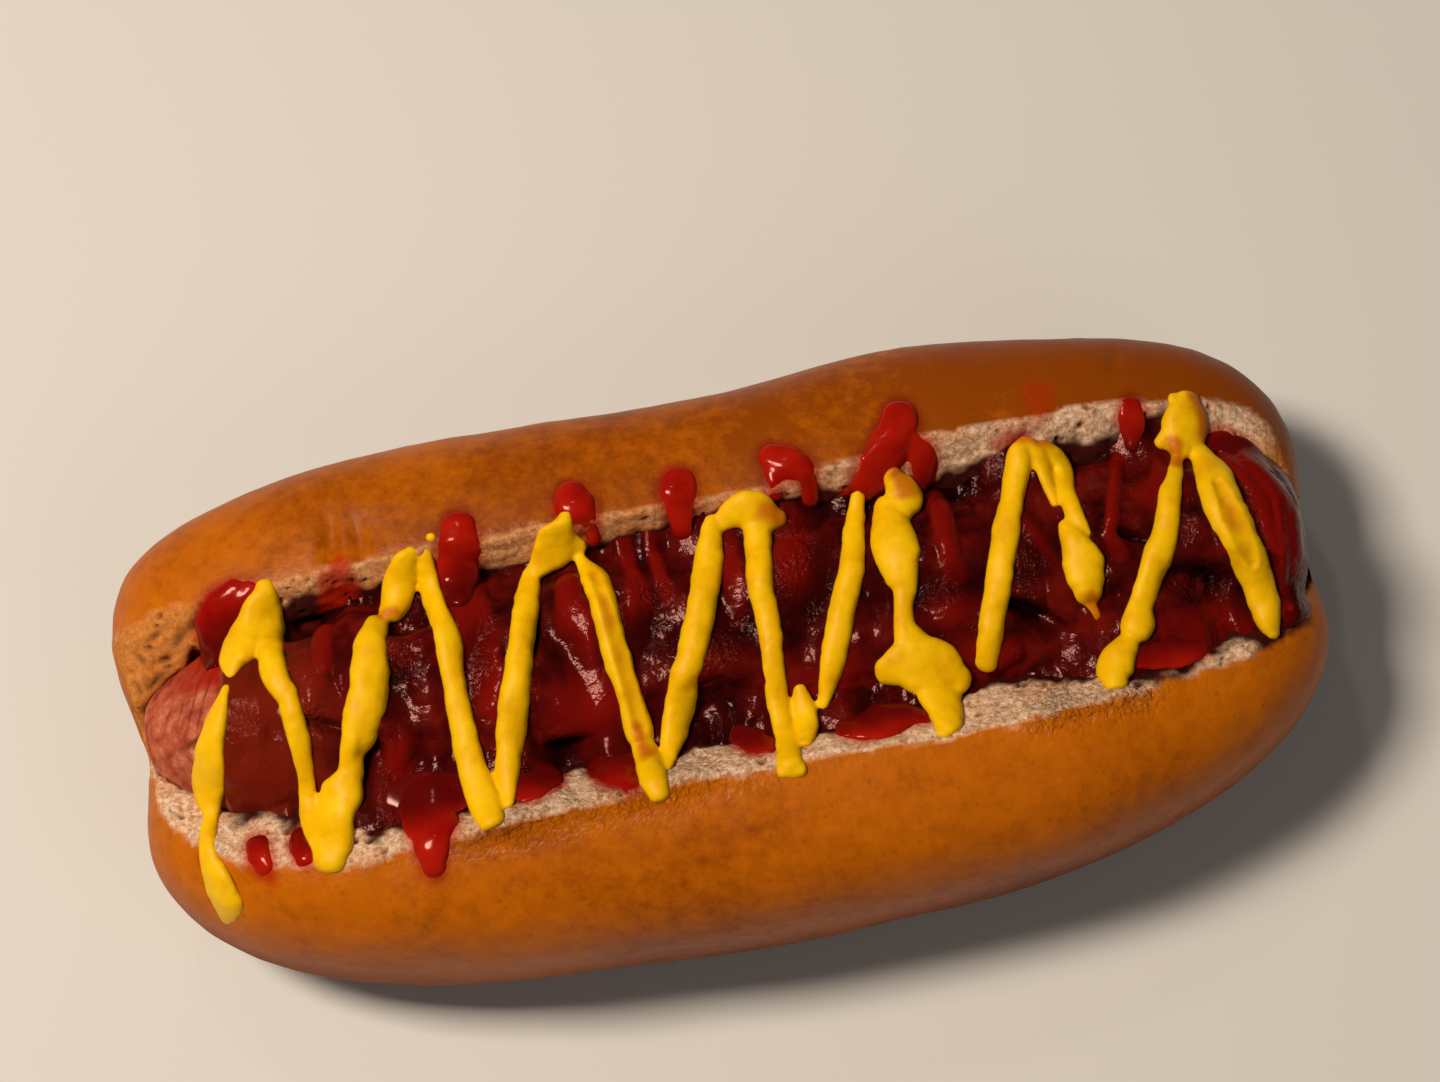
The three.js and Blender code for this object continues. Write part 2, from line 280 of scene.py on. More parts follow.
def frankY(x):
    start, stop, amount = frank["turnIn"]
    bow = (atEnd(frank["endY"], x) - frank["middleY"]) * (x / frank["halfLength"]) ** 2
    return frank["middleY"] + bow + amount * smooth01(-x, start, stop)


def channelHalfWidth(x):
    return np.maximum(frankRadius(x, cut["endGap"]) + cut["gap"], cut["leastHalfWidth"])


# Sauces, as they were squeezed on. A stroke's points are place along, place across and half width.
mustard = {
    "strokes": (
        ((-66.7, 4.4, 0.5), (-67.4, 2.8, 0.9), (-68.4, 0.5, 1.4), (-70.6, -3.5, 2.3), (-71.6, -7, 2.6),
         (-72, -8.8, 1.9), (-72, -10.6, 1), (-73, -15, 1.2), (-73, -17.5, 1.4), (-72.3, -20, 1.9),
         (-71.6, -23.6, 2.1)),
        ((-60, 17.4, 1.1), (-60.1, 15.7, 1.9), (-61.1, 14, 2.6), (-62.7, 11.5, 2.8), (-64.6, 9.3, 2.7),
         (-65.8, 7.8, 2), (-66.2, 5.6, 0.7)),
        ((-60.6, 14.5, 2.3), (-60.5, 8, 2), (-60.1, 3.8, 1.9), (-58.8, 0.5, 1.5), (-58.5, -6.2, 1.5),
         (-58.5, -9, 1.1), (-59, -12.5, 1.3), (-58.7, -15.2, 1.6), (-57.5, -18, 2.1)),
        ((-52.6, -10, 1.6), (-54, -12.2, 3), (-54.9, -13.5, 2.7), (-56.2, -16, 2.8), (-56.3, -19, 3.1),
         (-57, -21, 2.4)),
        ((-54.5, -12.6, 1.9), (-57.4, -12.5, 1.1)),
        ((-39.7, 17.5, 0.8), (-40.5, 16.8, 1.6), (-42.3, 14.2, 2.3), (-43.1, 12, 2.2), (-44, 10.6, 1.8)),
        ((-46, 9.4, 1.5), (-47.2, 6.2, 2.4), (-48.5, -0.4, 2.6), (-50.1, -4.2, 2.8), (-50.9, -6, 2.2),
         (-52, -7.4, 1.5), (-52.6, -10, 1.8)),
        ((-37.1, 18.5, 0.8), (-37, 18.9, 0.8)),
        ((-37.9, 17.2, 0.7), (-38.3, 15.8, 1.1), (-38.4, 12, 1.5), (-37, 4, 1.7), (-37.3, -4, 1.7),
         (-37, -12, 1.8), (-36.2, -17, 2.2), (-35.6, -20.4, 1.9)),
        ((-24.8, 12.5, 1.1), (-25.1, 11.4, 1.5), (-25.9, 8.5, 1.8), (-28.6, -0.9, 1.9), (-31.1, -9, 1.9),
         (-32.2, -12.9, 1.7), (-32.9, -17, 1.2), (-33.2, -18.7, 0.8)),
        ((-19, 18.2, 0.8), (-19.3, 17, 1.7), (-20.2, 15.6, 2.7), (-21.5, 14.8, 2.6), (-23.4, 13.4, 1.7),
         (-24.6, 12.4, 1.2)),
        ((-19.5, 15.3, 1.8), (-17.2, 14.5, 0.6)),
        ((-18.2, 13.7, 0.6), (-17.5, 11.8, 1.2), (-16.6, 9.6, 1.9), (-16, 5, 1.9), (-15.7, -2, 1.8),
         (-14.8, -8, 1.7), (-14.4, -12.4, 1.9)),
        ((-14.4, -13.4, 1.6), (-14.2, -15.2, 1.8), (-13.8, -19.5, 1.9), (-13.5, -21.6, 1.3)),
        ((0.3, 14.7, 0.9), (0.1, 13.9, 1.4), (-0.6, 11.7, 1.7), (-2.4, 5.2, 2), (-6.2, -3.6, 2),
         (-9.8, -12, 1.9), (-11, -14.8, 1.3), (-11.9, -17.8, 0.6)),
        ((0.7, 13.6, 0.9), (2.6, 14.8, 1.6), (4.4, 15.2, 2.2), (6.2, 14.4, 2.5), (8.2, 13.4, 1.9),
         (9.4, 13.1, 1)),
        ((6, 14.1, 1.7), (5.7, 11.2, 1.9), (4.8, 4.2, 1.8), (4.8, -2, 1.5), (4.2, -10.5, 1.5),
         (4.4, -16.8, 1.5), (3.8, -20.6, 2)),
        ((2.5, -21.2, 1.1), (5.3, -21.4, 1.2)),
        ((7.3, -9.7, 0.8), (7.3, -11, 1.4), (7.4, -13, 1.7), (7.1, -15.5, 1.7), (6.3, -17.4, 1.2)),
        ((20.1, 14.7, 1), (19.1, 11.3, 1.4), (17.2, 4.6, 1.7), (14.3, -1.9, 1.9), (11.9, -8.1, 1.7),
         (10.4, -11.5, 1), (9.8, -13, 0.5)),
        ((25.1, 16, 1.4), (25.7, 14.8, 2.3), (26.7, 13.4, 2.7), (25.4, 12, 2.3)),
        ((24, 12.4, 2.3), (23.6, 9.1, 3), (23.2, 6, 3.3), (23.1, 4.3, 3.1), (23.3, 2.5, 2.4),
         (23.5, 0.5, 1.7), (22.8, -2.4, 1.3), (22.5, -4.4, 1.5), (22.7, -6.2, 2.2), (23.3, -8, 3)),
        ((18.8, -9.8, 1.7), (20.9, -9.5, 3.1), (23.8, -10.2, 4), (26.7, -11.3, 3.8), (28.4, -12.4, 2)),
        ((25.4, -14, 3), (25.5, -16.9, 2.3), (25.2, -19, 2), (24.2, -20.1, 1.1)),
        ((43.8, 17.8, 0.9), (42.5, 16.1, 2), (41, 12.3, 1.7), (38.3, 5.5, 1.8), (36.6, 1, 1.8),
         (33.6, -7.1, 1.7), (32.3, -11, 1.5)),
        ((43.8, 17.2, 1.3), (44.8, 15.7, 1.6), (45.5, 13.3, 1.2), (45.5, 10.2, 0.8), (45.7, 8, 0.5)),
        ((45.6, 16.8, 1.1), (47.2, 15.8, 1.3), (48.2, 14, 1.4), (47.6, 10, 1.2), (47.7, 6, 1.3),
         (48.5, 4.1, 1.1), (49, 2.9, 0.5)),
        ((46.1, 5.5, 0.7), (46.3, 4.5, 1.2), (46.9, 2, 2), (47.5, 0, 2.8), (47.2, -3.1, 2.7),
         (47.2, -4.6, 2)),
        ((47.3, -5.6, 0.8), (47.9, -8, 0.5)),
        ((64.2, 14, 0.9), (63.4, 11.7, 0.8), (62.7, 10.4, 1.1), (61.4, 7.8, 1.4), (58.9, 1, 1.8),
         (57.5, -1.4, 2), (54.4, -6.4, 1.6), (53.6, -8, 1.8), (53.2, -9.3, 2.4), (52.5, -10.5, 2.1)),
        ((51.1, -12.1, 1.6), (49.4, -13.7, 2.4), (48.2, -15.8, 2.4), (48.2, -17.2, 1.6)),
        ((66.9, 20.6, 1.6), (66.6, 19.2, 2.8), (65.8, 17.2, 3.3), (65.2, 15.5, 3.1), (64.2, 14, 1.9)),
        ((64.8, 20.6, 1.2), (68, 20.2, 1.3)),
        ((61.6, 14.8, 0.9), (63.4, 15.8, 1.6)),
        ((66.3, 14.6, 1.2), (67.2, 12.2, 1.7), (67.6, 8.9, 2.6), (67.7, 3, 3.1), (69, -1.9, 2.7),
         (70.6, -6.2, 2.3), (71.1, -9.5, 2.4), (70.9, -12.4, 1.6), (71.3, -13.6, 0.8)),
    ),
    # Furrows pressed this deep; their darker orange is partly ketchup stain and partly painted shade.
    "grooves": (
        (((-16.6, 10, 0.8), (-15.4, 1, 1.1), (-14.9, -5, 1.1), (-14.2, -11.5, 1)), 0.35),
        (((67.4, 7, 0.9), (68.2, 1.5, 1.7), (69.2, -2.5, 1.4), (69.8, -4.5, 0.8)), 0.55),
    ),
    "stained": (
        ((7.4, 14.2, 1.7), (9.6, 13.4, 2)),
        ((25.6, 16.4, 1.4), (26.8, 14, 1.8)),
        ((68.4, 20, 1.6), (68.6, 15.4, 1.6)),
        ((47.3, -5.6, 1.4), (48, -8.8, 1.6)),
        ((-14.6, -11.5, 1.1), (-14.4, -15, 1.2)),
        ((64, 14, 1.3), (63.2, 11.4, 1.2)),
        ((-45.5, 10.2, 0.7), (-43.3, 10.2, 0.8)),
        ((47, 17, 0.8), (43, 18, 0.9)),
    ),
    "flatStrokes": (),
    "height": 0.9,  # of a bead, as a share of its half width
    "flatOver": 1.9,  # a bead with a half width over this settles flatter
    "depth": 1.1,  # how far it reaches down into what carries it
    "section": 2.15,  # over 2 is flatter on top than an ellipse
    "wobble": 0.1,
    "tip": 0.85,  # how far the round end reaches past the last point, as a share of the half width there
    "voxel": 0.3,
    "relief": ((3, 0.10), (1.1, 0.06)),
}
ketchup = {
    "strokes": (
        ((-64.4, 17.4, 2), (-66, 15.9, 3.1), (-67.6, 13.4, 2.9), (-68.7, 10.9, 2), (-68.8, 8.6, 1.3)),
        ((-62, 16.9, 1.6), (-63.8, 15, 2.6), (-66, 12.2, 2.6)),
        ((-33.2, 19.6, 2.2), (-33.4, 18, 2.9), (-34, 16, 3.1), (-34.6, 13.6, 3.1), (-34.8, 11.2, 2.7)),
        ((-17.6, 21, 2.2), (-17.6, 19.7, 3), (-16.8, 18.2, 2.4), (-15.9, 16.8, 1.3), (-15.8, 15, 0.9)),
        ((-3.5, 20.3, 2.3), (-3.8, 18.7, 2.9), (-3.9, 16.9, 2.2), (-4, 15.3, 1.7), (-4, 13.9, 1.3)),
        ((9.6, 21.2, 2.1), (11, 20.3, 2.5), (12.8, 18.9, 2.1), (13.8, 17, 1.3), (13.7, 15.1, 1.2)),
        ((9.5, 19.4, 1.5), (9.1, 17.6, 1.4), (9.1, 16.3, 1.1)),
        ((27.4, 24, 2.4), (27, 22, 3), (25.2, 19.6, 2.8), (22.6, 17, 2.4), (20.8, 15.4, 1.6)),
        ((28.6, 19.8, 1.4), (29.6, 17.8, 1.9), (29.4, 16, 1.7), (28.5, 14.9, 1)),
        ((59, 20.3, 1.6), (58.8, 18.7, 2.2), (58.6, 17, 1.7), (57.9, 15.2, 0.9)),
        ((-66.3, -16.6, 1.7), (-66.2, -18.4, 2), (-65.8, -20, 1.4)),
        ((-60.5, -16.3, 1.3), (-60.7, -18.2, 1.8), (-60.3, -20.2, 1.4)),
        ((-43.3, -16.5, 4.2), (-43.3, -19.4, 3.4), (-43.7, -21.8, 2.6), (-43.9, -23.8, 2),
         (-43.8, -25, 1.6)),
        ((-18, -17.5, 1.8), (-17, -19.4, 1.4)),
        ((11.9, -16.4, 1.4), (14.4, -16.8, 2.5), (17.4, -16.4, 2.5), (20.4, -16, 1.9),
         (22.8, -16.9, 1.2)),
    ),
    # Patches that lie flat, where it has spread over the bread from the cut.
    "flatStrokes": (
        ((-47.6, -14, 2), (-43.6, -15, 3.4), (-39.6, -15.2, 2.6)),
        ((-32.6, -16.2, 1.6), (-30, -16.4, 2.6), (-27.4, -15.4, 2.2)),
        ((-20.6, -15.4, 1.7), (-18.4, -16.8, 2.8), (-16.4, -16.2, 2)),
        ((-1.6, -14.4, 1.7), (0.2, -16, 2.3), (1.8, -16.6, 1.6)),
        ((51.4, -13.8, 1.6), (54.4, -14.6, 2.2), (57.6, -14.3, 2.2), (60.6, -14.2, 1.3)),
        ((67.6, 14.2, 1.2), (70.4, 14.4, 2.1), (72.8, 13, 2.1), (74.8, 11.2, 1.7), (76.6, 9, 1.2)),
        ((72.8, -10.4, 1.4), (75.4, -10.2, 1.9), (78, -9.6, 1.6)),
    ),
    "flatness": 0.4,
    "grooves": (),
    "stained": (),
    "height": 0.5,
    "flatOver": 2.2,
    "depth": 1.2,
    "section": 2.1,
    "wobble": 0.18,
    "tip": 1,
    "voxel": 0.3,
    "relief": ((3.4, 0.10), (1.6, 0.03)),
}
# Thin see-through smears of ketchup on the bread, and how much each covers.
smears = (
    (((-49.6, 17.8, 1.6), (-50.2, 15.6, 2.8), (-50.6, 13.6, 3.2)), 0.95),
    (((46.6, 23.6, 2.4), (46, 21.4, 2.2), (44.6, 19, 1.3)), 0.5),
    (((39.6, 18, 1), (43.6, 18.8, 1.3)), 0.9),
    (((-65.8, -20.6, 1.3), (-65, -22.4, 0.8)), 0.8),
    (((-33, -16.5, 1.6), (-26.5, -16, 1.8)), 0.9),
    (((-74.2, -16.6, 0.9), (-74.4, -19.2, 0.8)), 0.8),
    (((20.5, 16, 1.8), (18.6, 15.2, 1.2)), 0.9),
    (((-19.5, -17.6, 2.2), (-16, -19.2, 1.4)), 0.9),
    (((13.6, 16.2, 1), (14.4, 15.2, 1)), 0.9),
    (((76, -10, 2.6), (80, -9.6, 2)), 0.8),
)


# The bun: a loaf that a long round cut has opened.
def drawLoaf():
    piece = newBall("bun_loaf", bun["segments"], bun["rings"])
    place, angle = ballPlaces(piece)
    x = bun["halfLength"] * np.sin(place * math.pi / 2)
    across, up = np.cos(angle), np.sin(angle)
    top = up > 0
    power = np.where(top, bun["topSquareness"], bun["bottomSquareness"])
    reach = (np.abs(across) ** power + np.abs(up) ** power) ** (-1 / power)
    y = loafHalfWidth(x, across > 0) * reach * across
    z = bun["middleHeight"] + np.where(top, loafRise(x), loafDrop(x)) * reach * up
    z -= np.where(top, saddleDepth(x, y), 0)
    x = x - bun["notch"] * (x / bun["halfLength"]) ** 5 * hump(y, bun["notchWidth"])
    points = np.stack((x, y, z), axis=1)
    outwards = np.stack((np.zeros(len(x)), across, up), axis=1)
    points += outwards * lumpsOf(points, bun["unevenness"], 0)[:, None]
    points[:, 2] = np.maximum(0, points[:, 2])
    movePoints(piece, points)
    return piece


# The room for the frankfurter: a round channel that hugs it, and walls that lean out to two torn lips.
def drawCut():
    piece = newBall("bun_cut", cut["segments"], cut["rings"])
    place, angle = ballPlaces(piece)
    x = (bun["halfLength"] + cut["pastEnds"]) * place
    half = channelHalfWidth(x)
    far = np.cos(angle) > 0
    side = np.where(far, 1, -1)
    rise = np.where(angle > math.pi / 2, math.pi - angle, angle)  # from either side up to the top
    hug = np.radians(np.where(far, along(cut["farHug"], x), along(cut["nearHug"], x)))
    spread = np.where(far, along(cut["farSpread"], x), along(cut["nearSpread"], x))
    lipOff = half + spread
    lipTop = np.minimum(cut["lipHeight"], loafTop(x, frankY(x) + side * lipOff) + 0.4)
    lip, sky = cut["wallEnd"], cut["skyEnd"]
    share = np.clip((rise - hug) / (lip - hug), 0, 1)
    line = np.stack((x, far * 50.0, share * 2), axis=1)
    torn = lumpsOf(line, cut["torn"], 5) * share
    startY, startZ = half * np.cos(hug), frank["z"] + half * np.sin(hug)
    wallY = startY + (lipOff - startY) * share + torn
    wallZ = startZ + (lipTop - startZ) * share ** 0.85
    closing = np.where(rise > sky, np.cos(rise) / math.cos(sky), 1)
    skyShare = np.clip((rise - lip) / (sky - lip), 0, 1)
    onArc = (angle < 0) | (rise < hug)
    y = np.where(onArc, half * np.abs(np.cos(angle)), wallY * closing)
    z = np.where(onArc, frank["z"] + half * np.sin(angle), wallZ + (cut["skyHeight"] - wallZ) * skyShare)
    movePoints(piece, np.stack((x, frankY(x) + side * y, z), axis=1))
    return piece


def nearest(tree, points):
    return np.array([tree.find_nearest(Vector(point) * mm)[3] for point in points]) / mm


def subdivideWhere(piece, wanted):
    makeActive(piece)
    for part in (piece.data.polygons, piece.data.edges):
        part.foreach_set("select", np.zeros(len(part), bool))
    piece.data.vertices.foreach_set("select", wanted)
    bpy.ops.object.mode_set(mode="EDIT")
    bpy.ops.mesh.select_mode(type="VERT")
    bpy.ops.mesh.subdivide(number_cuts=1)
    bpy.ops.object.mode_set(mode="OBJECT")


def stepsAlong(stroke):
    stops = np.array(stroke, float)
    for leg in range(len(stops) - 1):
        length = math.dist(stops[leg], stops[leg + 1])
        for share in np.linspace(0, 1, max(3, int(length / 0.4))):
            yield stops[leg] + share * (stops[leg + 1] - stops[leg])


# How far points lie from the middle of a stroke, as a share of its half width.
def strokeShare(points, stroke):
    nearestYet = np.full(len(points), 9.0)
    for stop in stepsAlong(stroke):
        away = np.hypot(points[:, 0] - stop[0], points[:, 1] - stop[1]) / stop[2]
        nearestYet = np.minimum(nearestYet, away)
    return nearestYet


def strokeDistance(points, strokes):
    nearestYet = np.full(len(points), 99.0)
    for stroke in strokes:
        for stop in stepsAlong(stroke):
            away = np.hypot(points[:, 0] - stop[0], points[:, 1] - stop[1]) - stop[2]
            nearestYet = np.minimum(nearestYet, away)
    return nearestYet


crumb = {
    "roughness": ((2.4, 0.3), (1.0, 0.2)),  # width and height of the torn lumps
    "raggedEdge": ((1.3, 0.18), (0.6, 0.12)),
    "toastedLumps": ((1.5, 0.16), (0.7, 0.1)),
    "soakedAndShadedEdge": ((2.2, 0.6), (0.9, 0.3)),
    "fineWithin": 0.75,  # its mesh is finer this near to the cut
    "pores": 260,
    "poreRadius": (0.3, 0.75),
    "poreDepth": 0.7,
    "from": ((-84, 29), (-69, 29), (-65, 34.5), (84, 34.5)),  # heights below which no one sees it
    # where the cut face has browned, and how far that reaches
    "toasted": ((-80, 11, 4.5), (-76.5, 13.5, 4), (-72, 14.5, 3.2), (-79, 5, 4), (-68.5, 16, 2), (79, 12, 3)),
}
# Shallow dents in the crust: place along and across, half length, half width, turn in degrees and depth.
dents = (
    (-50.3, 21.8, 4.6, 1.3, 84, 1.3),
    (-46.6, 21, 3.9, 1.3, 96, 1.2),
    (-43.8, 21.5, 3, 0.9, 104, 0.3),
    (-50.4, -25.3, 3.6, 1.3, 84, 0.4),
    (-47.6, -25.3, 3, 1, 92, 0.3),
    (58.5, 28, 2.4, 0.7, 70, 0.35),
)
# Folds and holes in the browned cut face, in the same order.
faceForms = (
    (-72.6, 9.2, 2.0, 1.2, 25, -0.9),
    (-71.2, 11.4, 0.9, 0.8, 0, 1.5),
    (-75.2, 11.6, 1.0, 0.5, 10, 1.0),
    (-73, 13.4, 1.6, 0.7, 30, 0.4),
    (-78.5, 12.4, 1.5, 0.5, -50, 0.5),
    (-79.6, 9, 1.3, 0.5, -60, 0.3),
    (-77, 9.4, 2.4, 0.6, 30, 0.3),
    (-70, 14.6, 2.4, 0.8, 12, 0.6),
    (-79.4, 6, 1.6, 0.5, 80, 0.4),
    (-76, 14.8, 1.4, 0.5, 20, 0.4),
)
crust = {
    "lumps": ((4.2, 0.10), (2, 0.05)),
    "bake": 0.64,  # how brown it is, from 0 to 1
    "patches": ((26, 0.12), (9, 0.05)),
    # The crust is darker on the far side.
    "farDarker": ((-70, -20, 0.09), (10, 70, 0.1)),  # more on the far side: from and to along, and how much
    # where it is finely wrinkled beside the near lip, with its reach, and how far that goes outwards
    "wrinkled": ((-33, 7), (-14, 11), (40.5, 5), (50, 4)),
    "wrinkledWidth": 2.6,
}


def ovalAt(x, y, spot):
    placeX, placeY, halfLength, halfWidth, turn = spot[:5]
    turn = math.radians(turn)
    offX, offY = x - placeX, y - placeY
    lengthwise = offX * math.cos(turn) + offY * math.sin(turn)
    crosswise = offY * math.cos(turn) - offX * math.sin(turn)
    return (lengthwise / halfLength) ** 2 + (crosswise / halfWidth) ** 2


def cutLoaf():
    piece, cutter = drawLoaf(), drawCut()
    cutTree = treeOf(cutter)
    applyModifier(piece, "BOOLEAN", operation="DIFFERENCE", solver="MANIFOLD", object=cutter)
    bpy.data.objects.remove(cutter)
    applyModifier(piece, "REMESH", mode="VOXEL", voxel_size=bun["voxel"] * mm, adaptivity=0)
    applyModifier(piece, "SMOOTH", factor=0.5, iterations=2)
    points = pointsOf(piece)
    nearCut = nearest(cutTree, points) < crumb["fineWithin"]
    subdivideWhere(piece, nearCut & (points[:, 2] > along(crumb["from"], points[:, 0])))
    print("bun is cut")
    return piece, cutTree


# Round holes around random places in the crumb; most of them are small.
def poresAround(points, places):
    pore = np.zeros(len(points))
    finder = KDTree(len(places))
    for order, index in enumerate(places):
        finder.insert(points[index], order)
    finder.balance()
    draw = np.random.default_rng(7)
    low, high = crumb["poreRadius"]
    for start in draw.choice(places, crumb["pores"], replace=False):
        radius = low + (high - low) * draw.random() ** 3
        for place, order, away in finder.find_range(points[start], radius):
            depth = (1 - (away / radius) ** 2) * min(1, radius / 0.5)
            pore[places[order]] = max(pore[places[order]], depth)
    return pore


# How far the crumb and the crust stand out, and where the crumb has pores and toasted spots.
def bunRelief(points, isCrumb):
    x, y, z = points.T
    isCrust = 1 - isCrumb
    seen = z > along(crumb["from"], x)
    pore = poresAround(points, np.flatnonzero((isCrumb > 0.8) & seen))
    push = lumpsOf(points, crumb["roughness"], 20) * isCrumb - pore * crumb["poreDepth"]
    toast = sum(hump(np.hypot(x - placeX, y - placeY), size) for placeX, placeY, size in crumb["toasted"])
    push += lumpsOf(points, crumb["toastedLumps"], 33) * isCrumb * np.clip(toast, 0, 1)
    for form in faceForms:
        push -= form[5] * np.exp(-ovalAt(x, y, form)) * isCrumb * seen
        pore = np.maximum(pore, (form[5] > 0) * np.exp(-2 * ovalAt(x, y, form)) * isCrumb)
    for dent in dents:
        push -= dent[5] * np.exp(-ovalAt(x, y, dent)) * isCrust * (z > 35)
    push += lumpsOf(points, crust["lumps"], 31) * isCrust
    return push, pore, toast


# Fine wrinkles in the crust, just outside both lips.
def wrinkleAt(x, y):
    nearLipAt = frankY(x) - channelHalfWidth(x) - along(cut["nearSpread"], x)
    farLipAt = frankY(x) + channelHalfWidth(x) + along(cut["farSpread"], x)
    beyond = np.where(y < 0, nearLipAt - y, y - farLipAt)
    zone = sum(hump(x - placeX, reach) for placeX, reach in crust["wrinkled"])
    return hump(np.maximum(0, beyond - 0.6), crust["wrinkledWidth"]) * np.where(y < 0, 0.15 + zone, 0.12)


def smearAt(points):
    smear = np.zeros(len(points))
    for stroke, strength in smears:
        away = strokeDistance(points, (stroke,)) + 0.5 * lumps(points, 1.4, 45)
        smear = np.maximum(smear, strength * (1 - smooth01(away, -1.3, 0.6)))
    return smear


def makeBun():
    piece, cutTree = cutLoaf()
    points = pointsOf(piece)
    distance = nearest(cutTree, points) + lumpsOf(points, crumb["raggedEdge"], 11)
    isCrumb = 1 - smooth01(distance, 0.3, bun["crustThickness"] + 0.2)
    push, pore, toast = bunRelief(points, isCrumb)
    points += normalsOf(piece) * push[:, None]
    points[:, 2] = np.maximum(0, points[:, 2])
    movePoints(piece, points)

    x, y, z = points.T
    onTop = z > 34
    toast += 0.3 * smooth01(lumps(points, 6, 41), 0.25, 0.9)
    # Partly painted shade: the far crumb wall, left of the middle, is browned further for the shade under the
    # far lip as well as toasting
    toast += 0.55 * (1 - smooth01(x, -10, 40)) * (y > 0)
    bake = crust["bake"] + lumpsOf(points, crust["patches"], 42)
    # The crust is darker on the far side.
    for start, stop, more in crust["farDarker"]:
        bake += more * smooth01(x, start, stop) * smooth01(y, 5, 25)
    stain = 1 - smooth01(strokeDistance(points, ketchup["strokes"] + ketchup["flatStrokes"]), -0.4, 1.3)
    # Painted shade, partly real soaked ketchup: the cut walls below the sauce's level are painted nearly
    # black red
    level = np.where(y > 0, along(cut["farLevel"], x), along(cut["nearLevel"], x))
    over = z - frank["z"] - level + lumpsOf(points, crumb["soakedAndShadedEdge"], 46)
    soaked = (1 - smooth01(over, -0.3, 0.9)) * smooth01(x, -71, -67) * (1 - smooth01(x, 62, 67) * (y > 0))
    keepValues(
        piece,
        crumb=isCrumb,
        pore=np.clip(pore, 0, 1),
        toast=np.clip(toast, 0, 1),
        bake=np.clip(bake, 0, 1),
        # Painted shade: low is how far down the bun a point lies, and the crust is darkened there
        low=1 - smooth01(z, 3, 33),
        wrinkle=wrinkleAt(x, y) * onTop,
        stain=0.75 * stain * onTop,
        smear=0.9 * smearAt(points) * onTop,
        soaked=soaked,
    )
    makeActive(piece)
    bpy.ops.object.shade_smooth()
    return piece


bunPiece = makeBun()
print("bun has", len(bunPiece.data.vertices), "points")


# The frankfurter: slashed across and along, grilled, and coated in ketchup.
sausage = {
    "segments": 176,
    "rings": 550,
    "slashes": {"first": -46, "pitch": 11.6, "count": 10, "width": 7, "depth": 2.3, "slant": 24},
    "split": {"from": -14, "to": 66, "width": 7, "depth": 2.2, "offset": -1.5},
    "bottomSoftness": 1.3,
    "edgeSoftness": 0.9,
    "lumps": ((9, 0.45), (4.2, 0.5), (2.1, 0.24), (1.2, 0.09)),  # width and height of the lumps in the coat
    "sparkle": ((0.95, 0.2), (0.6, 0.12)),  # fine wet grains, in patches
    "ripples": ((5, 0.6), (2.2, 0.5)),  # in the sauce beside it
    # Where the sauce stands lower, under the far lip and along the near one: place along, reach and depth.
    "farHollows": (
        (-54, 5, 2.4), (-31, 3, 1.6), (-20, 3, 1.6), (16, 4, 1.6), (33, 4, 2.4), (52, 4, 2.2), (70, 3, 1.5),
    ),
    "nearHollows": ((-25, 3, 1.6), (-5, 5, 1.4), (6, 3, 1.6), (37, 4, 1.6)),
    "bareUpTo": -69,
    "poolFrom": -68,
    "poolTo": 78,
}
# Smooth runs of ketchup on the coat, and how far each stands out.
coatRuns = (
    (((30.7, 14, 1.7), (30.2, 7.5, 1.7), (30.3, 4, 1.6), (30.7, 1, 1.9)), 1.0),
    (((57.6, 15.4, 0.8), (55.4, 12.5, 1), (53, 6.4, 1), (51.7, 2.4, 1.2), (52.5, -0.3, 1.4)), 0.8),
    (((-20.2, 9, 2), (-20.4, 2.5, 2.9), (-20.4, -4.2, 2.3)), 1.0),
    (((-33.6, 12, 2.8), (-33.2, 2.6, 3.1), (-32.7, -4.7, 2.2)), 0.9),
    (((-53.2, 9.5, 1.6), (-53.8, 4, 1.4)), 0.8),
    (((-12, 12, 1.1), (-10.6, 5, 1.3)), 0.6),
    (((-8.4, 12.5, 1), (-7.6, 5, 1.2)), 0.6),
    (((1.6, 12, 1.6), (1.4, 5, 1.7), (0.6, 0, 1.4)), 0.6),
    (((11, 11, 1.5), (9.6, 5, 1.6)), 0.5),
    (((73, 11, 1.5), (76, 4, 1.8), (76.6, -4, 1.7)), 0.8),
    (((70.5, 12, 1.4), (73, 5, 1.5), (73.6, -2, 1.3)), 0.5),
    (((61, 11, 1.2), (60, 9, 1.2)), 0.5),
    (((56.6, -9, 1.2), (61.5, -10, 2.2), (67.5, -10.4, 1.7)), 0.9),
)
